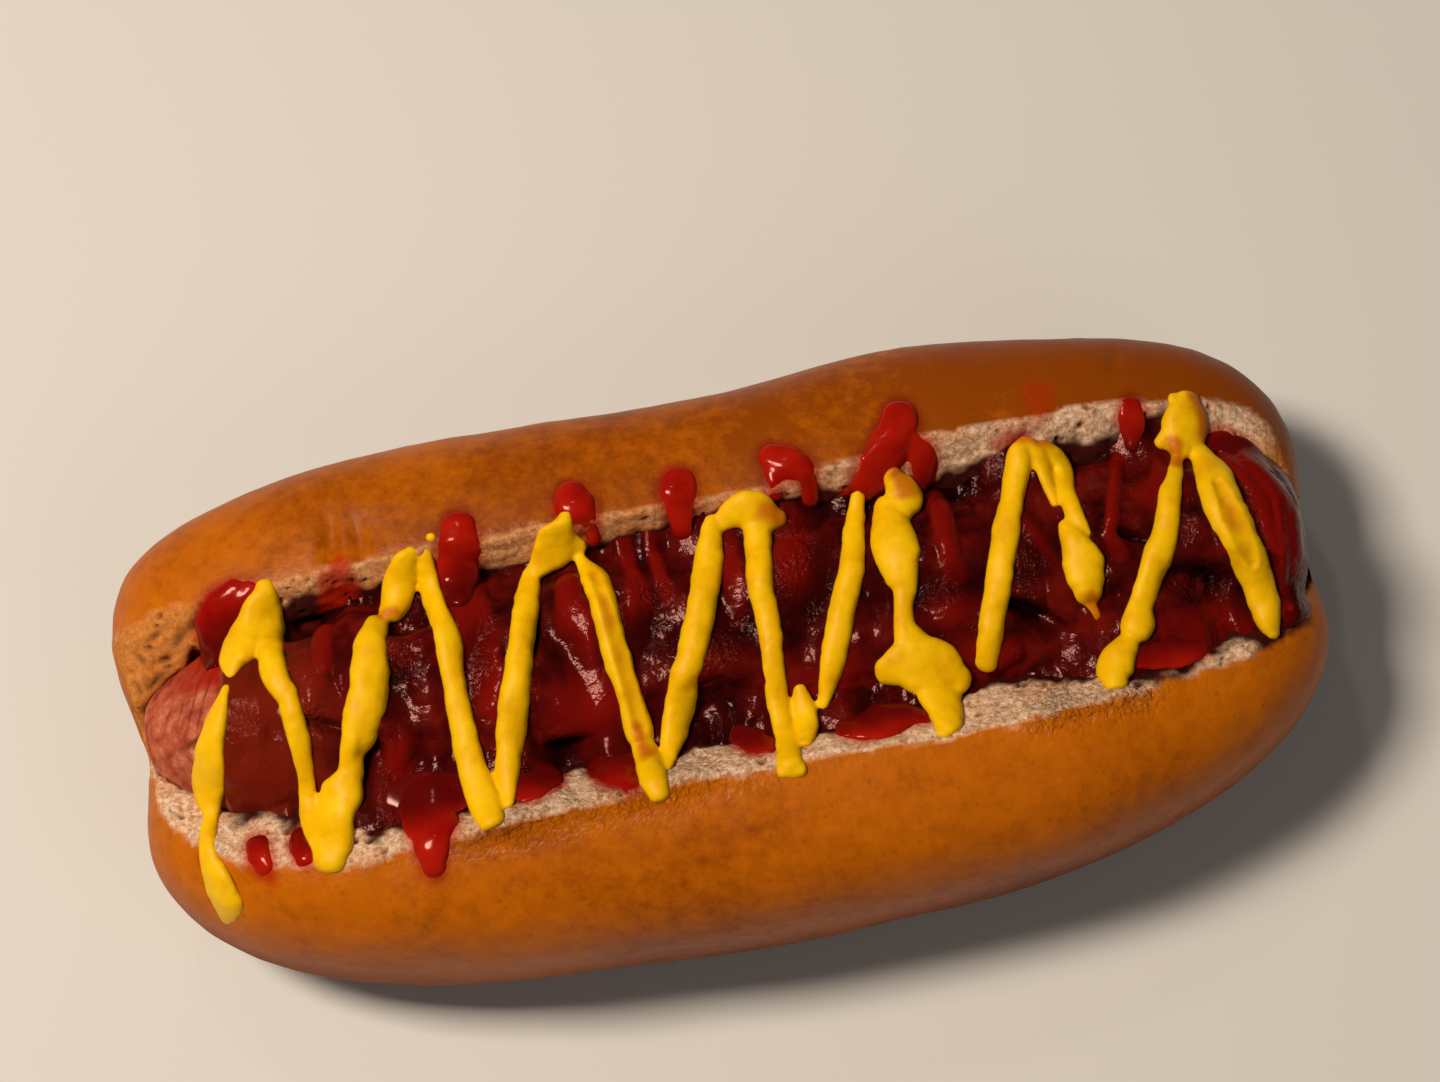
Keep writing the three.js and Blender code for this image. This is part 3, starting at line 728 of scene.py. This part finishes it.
# Hills and hollows of the coat: place along and across, half length, half width, turn in degrees, height.
coatForms = (
    (-41.9, 9.1, 3.4, 2.4, 20, -3.2),
    (-46.4, -9.6, 3.6, 2.0, 60, 1.3),
    (-49.8, -9.4, 3.0, 1.3, 65, -4.0),
    (-44.3, -13.3, 2.2, 1.0, 10, 0.8),
    (-55.5, 11.5, 4.2, 2.2, 10, -2.6),
    (-56, 1.5, 3.4, 2.2, 80, 0.9),
    (-54.5, -3.8, 3.5, 0.7, -25, -1.2),
    (-64.5, -8.8, 5.2, 4.0, 0, 0.9),
    (-63.6, -0.7, 4.2, 3.2, 90, 0.6),
    (-33.8, 1.0, 2.0, 2.4, 0, 1.0),
    (-20.3, -7.4, 5.4, 3.6, 4, 1.6),
    (-25.4, -11.9, 4.2, 1.4, 5, -3.0),
    (-25.6, 4.0, 4.0, 0.7, 80, -2.6),
    (-12, 6.4, 4.0, 1.0, 80, 1.0),
    (-3.5, -9.5, 4.5, 2.2, 0, -2.0),
    (9.5, 6, 4.5, 2.2, 85, 0.8),
    (12, -9, 4.5, 2, 0, 0.7),
    (32, 14, 3.2, 1.6, 0, -3.0),
    (29, -3.5, 4.6, 2.4, 0, 1.0),
    (33.5, -9.5, 4.4, 2.0, -8, 0.9),
    (39.8, -6.3, 5.6, 1.1, -36, -3.4),
    (42.9, 2.4, 5.0, 0.9, -66, 1.0),
    (54.4, 2.1, 2.6, 0.8, -30, -2.6),
    (62.8, -5.5, 5.6, 2.4, -8, -2.8),
    (59.5, 7, 3, 3, 0, 0.9),
    (74.6, -2, 6.0, 0.8, 84, 0.9),
    (77.2, -1, 6.0, 0.8, 78, 0.7),
    (72.4, -5, 4.2, 0.9, 86, -0.9),
)
sparklePatches = (
    (-63.6, -0.7, 3.5), (-56, -1, 4), (-45, 2, 4), (-47.5, -10, 3), (-42, 9, 3.5), (-31, 3, 4), (-30, -5, 4),
    (-28, -11, 3), (-10, 8, 4), (-12, 4, 3.5), (-1, -4, 4), (8, 10, 3), (9, 2, 4), (12, 8, 3), (28, -3, 4.5),
    (33, -7, 4), (38, 8, 4), (40, -1, 3.5), (57, 8, 5), (60, 2, 4), (62, -6, 5), (72, 2, 4), (75, -3, 4),
)


def softLeast(first, second, softness):
    return -softness * np.logaddexp(-first / softness, -second / softness)


# How high the floor of a groove lies: deepest in the middle, and rising to both sides.
def grooveFloor(height, depth, away, width):
    return height - depth * (1 - np.hypot(away, sausage["bottomSoftness"]) / (width / 2))


def carved(r, up, floor):
    return np.where(up > 0.2, softLeast(r, floor / np.maximum(up, 0.2), sausage["edgeSoftness"]), r)


# How far the coat stands out, where its raised hills and runs are painted a lighter red (thicker ketchup, and
# partly painted light on the raised parts), and where it has wet grains.
def coatRelief(flat):
    x, y = flat[:, 0], flat[:, 1]
    coat = lumpsOf(flat, sausage["lumps"], 60)
    folds = (1 - np.abs(lumps(flat * (1.5, 0.8, 1), 6, 75))) ** 2 - 0.4
    gullies = (1 - np.abs(lumps(flat * (1.3, 0.8, 1), 4.4, 76))) ** 4 - 0.15
    coat += 0.5 * folds - 0.8 * gullies * smooth01(lumps(flat, 9, 77), -0.5, 0.3)
    bright = np.zeros(len(x))
    for form in coatForms:
        share = np.exp(-ovalAt(x, y, form) ** 1.4)
        coat = coat * (1 - 0.6 * share) + form[5] * share
        bright += (form[5] > 0) * share
    for stroke, height in coatRuns:
        share = np.maximum(0, 1 - strokeShare(flat, stroke) ** 2) ** 0.7
        coat = coat * (1 - 0.75 * share) + height * share
        bright += 1.3 * share
    grain = sum(hump(np.hypot(x - placeX, y - placeY), size) for placeX, placeY, size in sparklePatches)
    grain = np.clip(grain, 0, 1) * smooth01(lumps(flat, 2.6, 71), -0.4, 0.4)
    return coat + grain * lumpsOf(flat, sausage["sparkle"], 72), bright, grain


# The slashes across the top, which lean to either side by turns, and the split along it.
def slashed(r, up, flat):
    x, y = flat[:, 0], flat[:, 1]
    slashes = sausage["slashes"]
    for order in range(slashes["count"]):
        at = slashes["first"] + order * slashes["pitch"]
        slant = math.radians(slashes["slant"] * (-1 if order % 2 else 1))
        wander = 1.1 * lumps(flat, 6, 80 + order) + 0.3 * lumps(flat, 2, 120 + order)
        away = (x - at) * math.cos(slant) + (y - frankY(x)) * math.sin(slant) + wander
        r = carved(r, up, grooveFloor(frank["radius"], slashes["depth"], away, slashes["width"]))
    split = sausage["split"]
    away = y - frankY(x) - split["offset"] + 0.8 * lumps(flat, 7, 91)
    depth = split["depth"] * smooth01(x, split["from"], split["from"] + 6)
    depth = depth * (1 - smooth01(x, split["to"] - 6, split["to"]))
    floor = grooveFloor(frank["radius"] + 0.6, depth, away, split["width"])
    return carved(r, up, np.where(depth > 0.05, floor, 99))


# Ketchup has run down both sides and stands against the bread: how far out it reaches, and its hollows.
def sauceBeside(across, up, flat):
    x = flat[:, 0]
    farSide = across > 0
    spread = np.where(farSide, along(cut["farSpread"], x), along(cut["nearSpread"], x))
    level = np.where(farSide, along(cut["farLevel"], x), along(cut["nearLevel"], x))
    hollow = 1.6 * smooth01(lumps(flat, 4.5, 92), 0.2, 0.8)
    for isFar, places in ((farSide, sausage["farHollows"]), (~farSide, sausage["nearHollows"])):
        for placeX, reachX, depth in places:
            hollow += depth * hump(x - placeX, reachX) * isFar
    level = level + lumpsOf(flat, sausage["ripples"], 93) + 0.2 * lumps(flat, 1.1, 101) - hollow
    level = level * smooth01(x, sausage["poolFrom"] - 3, sausage["poolFrom"] + 3)
    level = level * (1 - smooth01(x, sausage["poolTo"] - 3, sausage["poolTo"] + 3))
    level = level * frankRadius(x) / frank["radius"]
    toWall = (frankRadius(x) + 0.3 + spread * 0.6) / np.maximum(np.abs(across), 0.2)
    return np.where(up > 0.1, softLeast(level / np.maximum(up, 0.1), toWall, 0.3), 0), hollow


# The bare tip is wrinkled in fine lines that fan out from its left end, with one seam across them.
def tipLines(flat):
    x, y = flat[:, 0], flat[:, 1]
    upper = smooth01(y, -2.6, -0.6)
    slantwise = upper * (0.9 * x - 0.44 * y) + (1 - upper) * (0.8 * x + 0.6 * y)
    lines = (1 - np.abs(np.sin(2 * slantwise + 1.2 * lumps(flat, 4, 95)))) ** 2
    lines *= smooth01(lumps(flat, 3, 96), -0.7, 0.3)
    return lines, hump(y + 1.8 - 0.05 * (x + 76) + 0.4 * lumps(flat, 3, 98), 0.4)


def makeFrankfurter():
    piece = newBall("frankfurter_coat", sausage["segments"], sausage["rings"])
    place, angle = ballPlaces(piece)
    top = math.pi / 2
    turned = np.mod(angle - top + math.pi, 2 * math.pi) - math.pi  # 0 at the top
    angle = top + turned - 0.42 * np.sin(turned)  # more points on top, where they show
    x = frank["halfLength"] * (0.45 * place + 0.55 * np.sin(place * math.pi / 2))
    across, up = np.cos(angle), np.sin(angle)
    round0 = frankRadius(x)
    # Where each point lies on the plain frankfurter, before any relief.
    flat = np.stack((x, frankY(x) + round0 * across, frank["z"] + round0 * up), axis=1)
    bareEdge = sausage["bareUpTo"] + 0.9 * lumps(flat, 3.5, 51) + 0.10 * (flat[:, 1] + 2)
    sauce = smooth01(x, bareEdge - 0.25, bareEdge + 0.5)
    onTop = smooth01(up, 0.05, 0.45)
    inner = smooth01(round0, 5, 13)  # nothing stands out at the two tips

    coat, bright, grain = coatRelief(flat)
    r = slashed(round0 + coat * onTop * inner * sauce + 0.35 * sauce * inner, up, flat)
    poolR, hollow = sauceBeside(across, up, flat)
    inPool = smooth01(poolR - r, -0.4, 0.6)
    r = np.where(up > 0.1, -softLeast(-r, -poolR, 0.35), r)
    bare = (1 - sauce) * inner
    lines, seam = tipLines(flat)
    r += bare * (0.2 * lumps(flat, 2.6, 97) - 0.42 * lines - 0.6 * seam)
    movePoints(piece, np.stack((x, frankY(x) + r * across, frank["z"] + r * up), axis=1))

    # Painted shade: the coat is darkened where it sinks below the plain frankfurter, and in the sauce pools
    # beside it
    sunk = np.clip((round0 + 0.2 - r) / 2.4, 0, 1) * (1 - inPool)
    sunk += np.clip(0.3 + 0.35 * hollow, 0, 1) * inPool
    film = smooth01(across * round0 + 0.5 * lumps(flat, 2.4, 99), 2.4, 5) * smooth01(x, -78.5, -76)
    keepValues(
        piece,
        sauce=sauce,
        sunk=sunk,
        bright=np.clip(bright, 0, 1),
        brown=0.6 * (1 - smooth01(x + 2 * lumps(flat, 7, 100), -60, -50)),
        grain=np.clip(grain * sauce, 0, 1),
        # Painted shade in the bare tip's wrinkle lines and seam
        crease=bare * np.clip(lines + seam, 0, 1),
        tip=smooth01(-x, 74, 79),
        film=bare * film,
    )
    makeActive(piece)
    bpy.ops.object.shade_smooth()
    return piece


frankPiece = makeFrankfurter()
print("frankfurter has", len(frankPiece.data.vertices), "points")


# The sauces lie on a height map of what carries them.
ground = {"step": 0.5, "halfX": 86, "halfY": 34}
bead = {
    "spacing": 0.25,  # between the places along it that are worked out
    "softening": 0.8,
    "segments": 28,
    "ringSpacing": 0.33,
    "fewestRings": 14,
    "endRounding": 2.1,
    "settling": 0.35,  # how much of the half width over flatOver still counts for its height
}


def softened(values, spacing, reach):
    steps = max(1, int(3 * reach / spacing))
    kernel = np.exp(-((np.arange(-steps, steps + 1) * spacing / reach) ** 2))
    padded = np.pad(values, steps, mode="edge")
    return np.convolve(padded, kernel / kernel.sum(), mode="valid")


def heightUnder(trees, x, y):
    start = Vector((x, y, 90)) * mm
    hits = [tree.ray_cast(start, Vector((0, 0, -1)))[0] for tree in trees]
    return max((hit.z / mm for hit in hits if hit), default=0)


def blurred(heights, reach):
    for _ in range(2):
        heights = np.array([softened(row, ground["step"], reach) for row in heights]).T
    return heights


# The height of what carries the sauce, on a grid, softened so that the sauce bridges small gaps.
def makeGround(trees):
    columns = np.arange(-ground["halfX"], ground["halfX"] + 0.1, ground["step"])
    rows = np.arange(-ground["halfY"], ground["halfY"] + 0.1, ground["step"])
    heights = np.array([[heightUnder(trees, x, y) for x in columns] for y in rows])
    return np.maximum(blurred(heights, 2.2), blurred(heights, 0.7) - 0.35)


def groundAt(heights, x, y):
    column = np.clip((x + ground["halfX"]) / ground["step"], 0, heights.shape[1] - 1.001)
    row = np.clip((y + ground["halfY"]) / ground["step"], 0, heights.shape[0] - 1.001)
    left, low = column.astype(int), row.astype(int)
    column, row = column - left, row - low
    near = heights[low, left] * (1 - column) + heights[low, left + 1] * column
    far = heights[low + 1, left] * (1 - column) + heights[low + 1, left + 1] * column
    return near * (1 - row) + far * row


# One bead, drawn out of a ball along its stroke and draped over what carries it.
def drawBead(look, stroke, seed, heights, share=1):
    stops = np.array(stroke, float)
    leg = np.hypot(np.diff(stops[:, 0]), np.diff(stops[:, 1]))
    at = np.concatenate(([0], np.cumsum(leg)))
    spacing = bead["spacing"]
    sample = np.arange(0, at[-1] + spacing / 2, spacing)
    pathX, pathY, pathR = (
        softened(np.interp(sample, at, values), spacing, bead["softening"]) for values in stops.T
    )
    tips = look["tip"] * pathR[0], look["tip"] * pathR[-1]
    length = sample[-1] + sum(tips)
    piece = newBall("bead", bead["segments"], max(bead["fewestRings"], int(length / bead["ringSpacing"])))
    place, angle = ballPlaces(piece)
    s = (place + 1) / 2 * length - tips[0]
    inside = np.clip(s, 0, sample[-1])
    over = s - inside
    closing = superellipse(over / np.where(over < 0, *tips), bead["endRounding"])
    radius = np.interp(inside, sample, pathR)
    left = np.cos(angle) > 0
    line = np.stack((s, 9.0 * seed + 4 * left, 0 * s), axis=1)
    edge = 1 + look["wobble"] * (lumps(line, 2.8, 3) + 0.6 * lumps(line, 1.2, 4))
    flatness = 2 / look["section"]
    sideways = np.sign(np.cos(angle)) * np.abs(np.cos(angle)) ** flatness * radius * closing * edge
    upwards = np.sign(np.sin(angle)) * np.abs(np.sin(angle)) ** flatness
    slopeX = np.interp(inside, sample, np.gradient(pathX, spacing))
    slopeY = np.interp(inside, sample, np.gradient(pathY, spacing))
    size = np.maximum(np.hypot(slopeX, slopeY), 1e-6)
    slopeX, slopeY = slopeX / size, slopeY / size
    x = np.interp(inside, sample, pathX) + slopeX * over - slopeY * sideways
    y = np.interp(inside, sample, pathY) + slopeY * over + slopeX * sideways
    wider = np.maximum(0, radius - look["flatOver"])
    tall = radius - wider + bead["settling"] * wider
    tall = tall * look["height"] * share * closing * (1 + 0.12 * lumps(line * (1, 0, 1), 3.5, 6))
    z = groundAt(heights, x, y) + np.where(upwards > 0, tall, look["depth"] * closing) * upwards
    movePoints(piece, np.stack((x, y, z), axis=1))
    return piece


def makeSauce(name, look, trees):
    heights = makeGround(trees)
    beads = [drawBead(look, stroke, seed, heights) for seed, stroke in enumerate(look["strokes"])]
    for seed, stroke in enumerate(look["flatStrokes"]):
        beads.append(drawBead(look, stroke, 200 + seed, heights, look["flatness"]))
    deselectAll()
    for each in beads:
        each.select_set(True)
    bpy.context.view_layer.objects.active = beads[0]
    bpy.ops.object.join()
    piece = bpy.context.object
    piece.name = name
    applyModifier(piece, "REMESH", mode="VOXEL", voxel_size=look["voxel"] * mm, adaptivity=0)
    applyModifier(piece, "SMOOTH", factor=0.5, iterations=3)
    points = pointsOf(piece)
    push = lumpsOf(points, look["relief"], 101)
    stain = np.zeros(len(points))
    above = smooth01(normalsOf(piece)[:, 2], 0.1, 0.6)
    # Partly painted shade: the furrows are painted a darker orange as well as pressed in
    for stroke, depth in look["grooves"]:
        share = np.maximum(0, 1 - strokeShare(points, stroke) ** 2) * above
        push -= depth * share
        stain = np.maximum(stain, share * (0.5 + 0.5 * lumps(points, 2.4, 104)))
    if look["stained"]:
        away = strokeDistance(points, look["stained"]) + 0.6 * lumps(points, 2, 105)
        stain = np.maximum(stain, 1 - smooth01(away, -0.9, 0.5))
    movePoints(piece, points + normalsOf(piece) * push[:, None])
    x, y = points[:, 0], points[:, 1]
    lip = channelHalfWidth(x) + np.where(y > 0, along(cut["farSpread"], x), along(cut["nearSpread"], x))
    inside = lip - np.abs(y - frankY(x)) + 0.8 * lumps(points, 3, 106)
    keepValues(piece, inside=smooth01(inside, 1, 6), stain=0.85 * stain)
    makeActive(piece)
    bpy.ops.object.shade_smooth()
    return piece


solidTrees = [treeOf(bunPiece), treeOf(frankPiece)]
ketchupPiece = makeSauce("ketchup", ketchup, solidTrees)
print("ketchup has", len(ketchupPiece.data.vertices), "points")
mustardPiece = makeSauce("mustard", mustard, solidTrees + [treeOf(ketchupPiece)])
print("mustard has", len(mustardPiece.data.vertices), "points")


# A colour written as sRGB hex, turned to linear.
def linear(hexColour):
    values = [int(hexColour[place : place + 2], 16) / 255 for place in (1, 3, 5)]
    values = [v / 12.92 if v <= 0.04045 else ((v + 0.055) / 1.055) ** 2.4 for v in values]
    return (*values, 1)


# Adds a node with its settings and links. A key in settings or links is a property or an input of the node,
# and a link from a node comes from its first output.
def addNode(tree, kind, settings=None, links=None):
    node = tree.nodes.new("ShaderNode" + kind)
    for key, value in (settings or {}).items():
        if key == "stops":
            stops = node.color_ramp.elements
            for order, (place, colour) in enumerate(value):
                if order >= 2:
                    stops.new(place)
                stops[order].position = place
                stops[order].color = linear(colour)
        elif isinstance(key, str) and hasattr(node, key):
            setattr(node, key, value)
        else:
            node.inputs[key].default_value = value
    for key, source in (links or {}).items():
        tree.links.new(source.outputs[0] if isinstance(source, bpy.types.Node) else source, node.inputs[key])
    return node


# Gives a piece a new material. The function fill adds its nodes and hands back the shader.
def giveMaterial(piece, name, fill):
    material = bpy.data.materials.new(name)
    material.use_nodes = True
    material.node_tree.nodes.clear()
    add = partial(addNode, material.node_tree)
    add("OutputMaterial", links={"Surface": fill(add)})
    piece.data.materials.clear()
    piece.data.materials.append(material)


# A noise pattern whose grains are a real size, in millimetres.
def patternSize(size):
    return 1 / (size * mm)


# The values that were kept on the points of a piece.
def readValues(add, names):
    return {name: add("Attribute", {"attribute_name": name}).outputs["Fac"] for name in names.split()}


# Lays colours over a first one, each by its own share; multiplied, they tint what is under them.
def overlaid(add, colour, layers, blend="MIX"):
    for share, over in layers:
        settings = {"data_type": "RGBA", "blend_type": blend, 7: linear(over)}
        colour = add("Mix", settings, {0: share, 6: colour}).outputs[2]
    return colour


def bakedBread(add):
    # Milk bread, brushed with egg and baked: a thin golden skin with a soft shine and tiny dimples, painted
    # as small dark spots of shade, and a matt open crumb where it is cut. Painted shade also darkens the
    # crust towards the bottom, the crumb's pores, and the cut walls below the sauce.
    place = add("TexCoord").outputs["Object"]
    read = readValues(add, "crumb pore toast bake low wrinkle stain smear soaked")
    mottle = add("TexNoise", {"Scale": patternSize(2.6), "Detail": 9, "Roughness": 0.72}, {"Vector": place})
    browning = add("Math", {"operation": "MULTIPLY_ADD", 1: 0.45}, {0: mottle, 2: read["bake"]})
    crustStops = (0.66, "#CA6C06"), (0.86, "#B05A02"), (1, "#883E00")
    crustColour = add("ValToRGB", {"stops": crustStops}, {"Fac": browning})
    # Painted shade of tiny dimples: small dark spots
    dimpleCells = add("TexVoronoi", {"Scale": patternSize(2.3)}, {"Vector": place})
    spotRange = {"From Min": 0.06, "From Max": 0.2, "To Min": 0.3, "To Max": 0}
    spots = add("MapRange", spotRange, {"Value": dimpleCells})
    crustColour = overlaid(add, crustColour, ((spots, "#6E3206"),))
    # Painted shade: the crust darkens towards the bottom of the bun
    crustColour = overlaid(add, crustColour, ((read["low"], "#8C5638"),), "MULTIPLY")

    fine = add("TexNoise", {"Scale": patternSize(0.75), "Detail": 8, "Roughness": 0.75}, {"Vector": place})
    crumbStops = (0.32, "#94603E"), (0.48, "#D8AA84"), (0.62, "#F6DCC0")
    crumbColour = add("ValToRGB", {"stops": crumbStops}, {"Fac": fine})
    # Toasting browns the crumb; the same value also carries painted shade on the far crumb wall
    crumbColour = overlaid(add, crumbColour, ((read["toast"], "#F2B868"),), "MULTIPLY")
    halfToastAndShade = add("Math", {"operation": "MULTIPLY", 1: 0.5}, {0: read["toast"]})
    # Painted shade: the crumb's pores and the holes in its cut face are darkened
    layers = (halfToastAndShade, "#C67C3A"), (read["pore"], "#7A4A28"), (read["soaked"], "#3A0A06")
    # Painted shade, partly real soaked ketchup: nearly black red on the cut walls below the sauce
    crumbColour = overlaid(add, crumbColour, layers)

    colour = add("Mix", {"data_type": "RGBA"}, {0: read["crumb"], 6: crustColour, 7: crumbColour}).outputs[2]
    colour = overlaid(add, colour, ((read["stain"], "#D8502A"),), "MULTIPLY")
    colour = overlaid(add, colour, ((read["smear"], "#A81C06"),))

    wrinkles = add("TexNoise", {"Scale": patternSize(1), "Detail": 5, "Distortion": 0.8}, {"Vector": place})
    wrinkled = add("Bump", {"Distance": 1.5 * mm}, {"Strength": read["wrinkle"], "Height": wrinkles})
    tearing = {"Strength": read["crumb"], "Height": fine, "Normal": wrinkled}
    torn = add("Bump", {"Distance": 0.35 * mm}, tearing)
    bump = add("Bump", {"Distance": 0.1 * mm, "Strength": 0.5}, {"Height": mottle, "Normal": torn})
    matt = add("MapRange", {"To Min": 0.4, "To Max": 0.95}, {"Value": read["crumb"]})
    clamped = {"operation": "MULTIPLY_ADD", "use_clamp": True}
    low = add("Math", {**clamped, 1: 0.5}, {0: read["low"], 2: matt})
    glossy = add("Math", {**clamped, 1: -0.34}, {0: read["wrinkle"], 2: low})
    wet = add("Mix", {"data_type": "FLOAT", 3: 0.2}, {0: read["smear"], 2: glossy})
    return add(
        "BsdfPrincipled",
        {"IOR": 1.45, "Specular IOR Level": 0.13},
        {"Base Color": colour, "Roughness": wet, "Normal": bump},
    )


def ketchupCoat(add):
    # Smoked sausage skin, pinkish and satin, under a wet coat of ketchup and meat juice. Painted shade makes
    # the coat nearly black in its hollows and pools and darkens the bare tip's wrinkle lines; painted light
    # makes its raised hills and runs a lighter red, where the ketchup is also thicker.
    place = add("TexCoord").outputs["Object"]
    read = readValues(add, "sauce sunk bright brown grain crease tip film")
    patches = add("TexNoise", {"Scale": patternSize(6), "Detail": 4, "Roughness": 0.6}, {"Vector": place})
    coatStops = (0.32, "#240303"), (0.5, "#4A0806"), (0.66, "#66120A")
    coatColour = add("ValToRGB", {"stops": coatStops}, {"Fac": patches})
    # Painted light and shade: raised hills and runs a lighter red, where the ketchup is also thicker; hollows
    # and pools nearly black
    layers = (read["bright"], "#700C06"), (read["brown"], "#6E200E"), (read["sunk"], "#140202")
    coatColour = overlaid(add, coatColour, layers)
    spots = add("TexNoise", {"Scale": patternSize(2.6), "Detail": 7, "Roughness": 0.65}, {"Vector": place})
    skinStops = (0.34, "#842E1C"), (0.52, "#B2583C"), (0.68, "#CC8264")
    skinColour = add("ValToRGB", {"stops": skinStops}, {"Fac": spots})
    # Painted shade in the bare tip's wrinkle lines and seam
    skinColour = overlaid(add, skinColour, ((read["crease"], "#46120A"), (read["film"], "#9A1E0C")))
    colour = add("Mix", {"data_type": "RGBA"}, {0: read["sauce"], 6: skinColour, 7: coatColour}).outputs[2]

    wet = add("MapRange", {"To Min": 0.4, "To Max": 0.15}, {"Value": read["sauce"]})
    wetter = add("Math", {"operation": "MULTIPLY_ADD", 1: -0.03}, {0: read["grain"], 2: wet})
    roughness = add("Math", {"operation": "MULTIPLY_ADD", 1: 0.3}, {0: read["tip"], 2: wetter})
    ripple = add("TexNoise", {"Scale": patternSize(1.6), "Detail": 3, "Roughness": 0.5}, {"Vector": place})
    rippled = add("Bump", {"Distance": 0.34 * mm, "Strength": 0.6}, {"Height": ripple})
    grains = add("TexNoise", {"Scale": patternSize(0.7), "Detail": 3, "Roughness": 0.5}, {"Vector": place})
    graining = {"Strength": read["grain"], "Height": grains, "Normal": rippled}
    bump = add("Bump", {"Distance": 0.9 * mm}, graining)
    return add(
        "BsdfPrincipled",
        {
            "IOR": 1.45,
            "Specular IOR Level": 0.115,
            "Specular Tint": linear("#FFC2BA"),
            "Subsurface Weight": 0.12,
            "Subsurface Radius": (1.0, 0.15, 0.08),
            "Subsurface Scale": 1.2 * mm,
        },
        {"Base Color": colour, "Roughness": roughness, "Normal": bump},
    )


def tomatoKetchup(add):
    # Tomato ketchup as it leaves the bottle: smooth, wet and clear red where it is thin.
    place = add("TexCoord").outputs["Object"]
    patches = add("TexNoise", {"Scale": patternSize(5), "Detail": 3}, {"Vector": place})
    colour = add("ValToRGB", {"stops": ((0.35, "#8A0A04"), (0.65, "#A41808"))}, {"Fac": patches})
    colour = overlaid(add, colour, ((readValues(add, "inside")["inside"], "#560604"),))
    return add(
        "BsdfPrincipled",
        {
            "Roughness": 0.15,
            "IOR": 1.45,
            "Specular IOR Level": 0.22,
            "Specular Tint": linear("#FFCAC2"),
            "Subsurface Weight": 0.2,
            "Subsurface Radius": (1.0, 0.15, 0.06),
            "Subsurface Scale": 1.6 * mm,
        },
        {"Base Color": colour},
    )


def yellowMustard(add):
    # Mild yellow mustard: a smooth thick cream, satin, stained where ketchup has run into it, and painted a
    # darker orange in its pressed furrows, partly as painted shade.
    place = add("TexCoord").outputs["Object"]
    patches = add("TexNoise", {"Scale": patternSize(4), "Detail": 5, "Roughness": 0.6}, {"Vector": place})
    stops = (0.3, "#DCA200"), (0.5, "#E8B300"), (0.7, "#EEBE06")
    colour = add("ValToRGB", {"stops": stops}, {"Fac": patches})
    colour = overlaid(add, colour, ((readValues(add, "stain")["stain"], "#B85C06"),))
    ripple = add("TexNoise", {"Scale": patternSize(1.2), "Detail": 4}, {"Vector": place})
    bump = add("Bump", {"Distance": 0.1 * mm, "Strength": 0.5}, {"Height": ripple})
    return add(
        "BsdfPrincipled",
        {
            "Roughness": 0.45,
            "IOR": 1.45,
            "Specular IOR Level": 0.16,
            "Subsurface Weight": 0.15,
            "Subsurface Radius": (1.0, 0.6, 0.1),
            "Subsurface Scale": 1.2 * mm,
        },
        {"Base Color": colour, "Normal": bump},
    )


giveMaterial(bunPiece, "baked_milk_bread", bakedBread)
giveMaterial(frankPiece, "frankfurter_in_ketchup", ketchupCoat)
giveMaterial(ketchupPiece, "tomato_ketchup", tomatoKetchup)
giveMaterial(mustardPiece, "yellow_mustard", yellowMustard)
print("materials are on")

# A pale floor and soft light.
studio = {
    "floorSide": 4,
    "floorColour": "#D6D3CE",
    "sky": "#DDE0E4",
    "skyStrength": 0.06,
    # name, place, width and height of the soft box, watts and colour; each faces the bun
    "lamps": (
        ("key", (-0.36, 0.1, 0.74), (0.15, 0.2), 6.9, "#FFF0DE"),
        ("glint", (-0.12, 0.4, 0.75), (0.04, 0.05), 0.26, "#FFF4EC"),
        ("fill", (0.3, -0.5, 0.6), (0.4, 0.4), 0.7, "#FFF6EA"),
    ),
}


def palePaper(add):
    return add("BsdfPrincipled", {"Base Color": linear(studio["floorColour"]), "Roughness": 0.9})


def makeFloor():
    deselectAll()
    bpy.ops.mesh.primitive_plane_add(size=studio["floorSide"])
    floor = bpy.context.object
    floor.name = "floor"
    giveMaterial(floor, "pale_paper", palePaper)


def makeLights():
    middle = Vector((0, 0, 0.03))
    for name, place, (width, height), watts, colour in studio["lamps"]:
        turn = (middle - Vector(place)).to_track_quat("-Z", "Y").to_euler()
        bpy.ops.object.light_add(type="AREA", location=place, rotation=turn)
        lamp = bpy.context.object
        lamp.name = name
        lamp.data.shape = "RECTANGLE"
        lamp.data.size, lamp.data.size_y = width, height
        lamp.data.energy = watts
        lamp.data.color = linear(colour)[:3]
        lamp.visible_glossy = name != "fill"  # the fill only softens the shadows
    world = bpy.data.worlds.new("studio")
    world.use_nodes = True
    world.node_tree.nodes["Background"].inputs["Color"].default_value = linear(studio["sky"])
    world.node_tree.nodes["Background"].inputs["Strength"].default_value = studio["skyStrength"]
    bpy.context.scene.world = world
    bpy.context.scene.view_settings.view_transform = "Standard"


makeFloor()
makeLights()
print("studio is lit")

for piece, slot in (
    (bunPiece, "crust"),
    (frankPiece, "frankfurter_skin"),
    (ketchupPiece, "ketchup"),
    (mustardPiece, "mustard"),
):
    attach(piece, "root")
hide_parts("bun")
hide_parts("frankfurter")
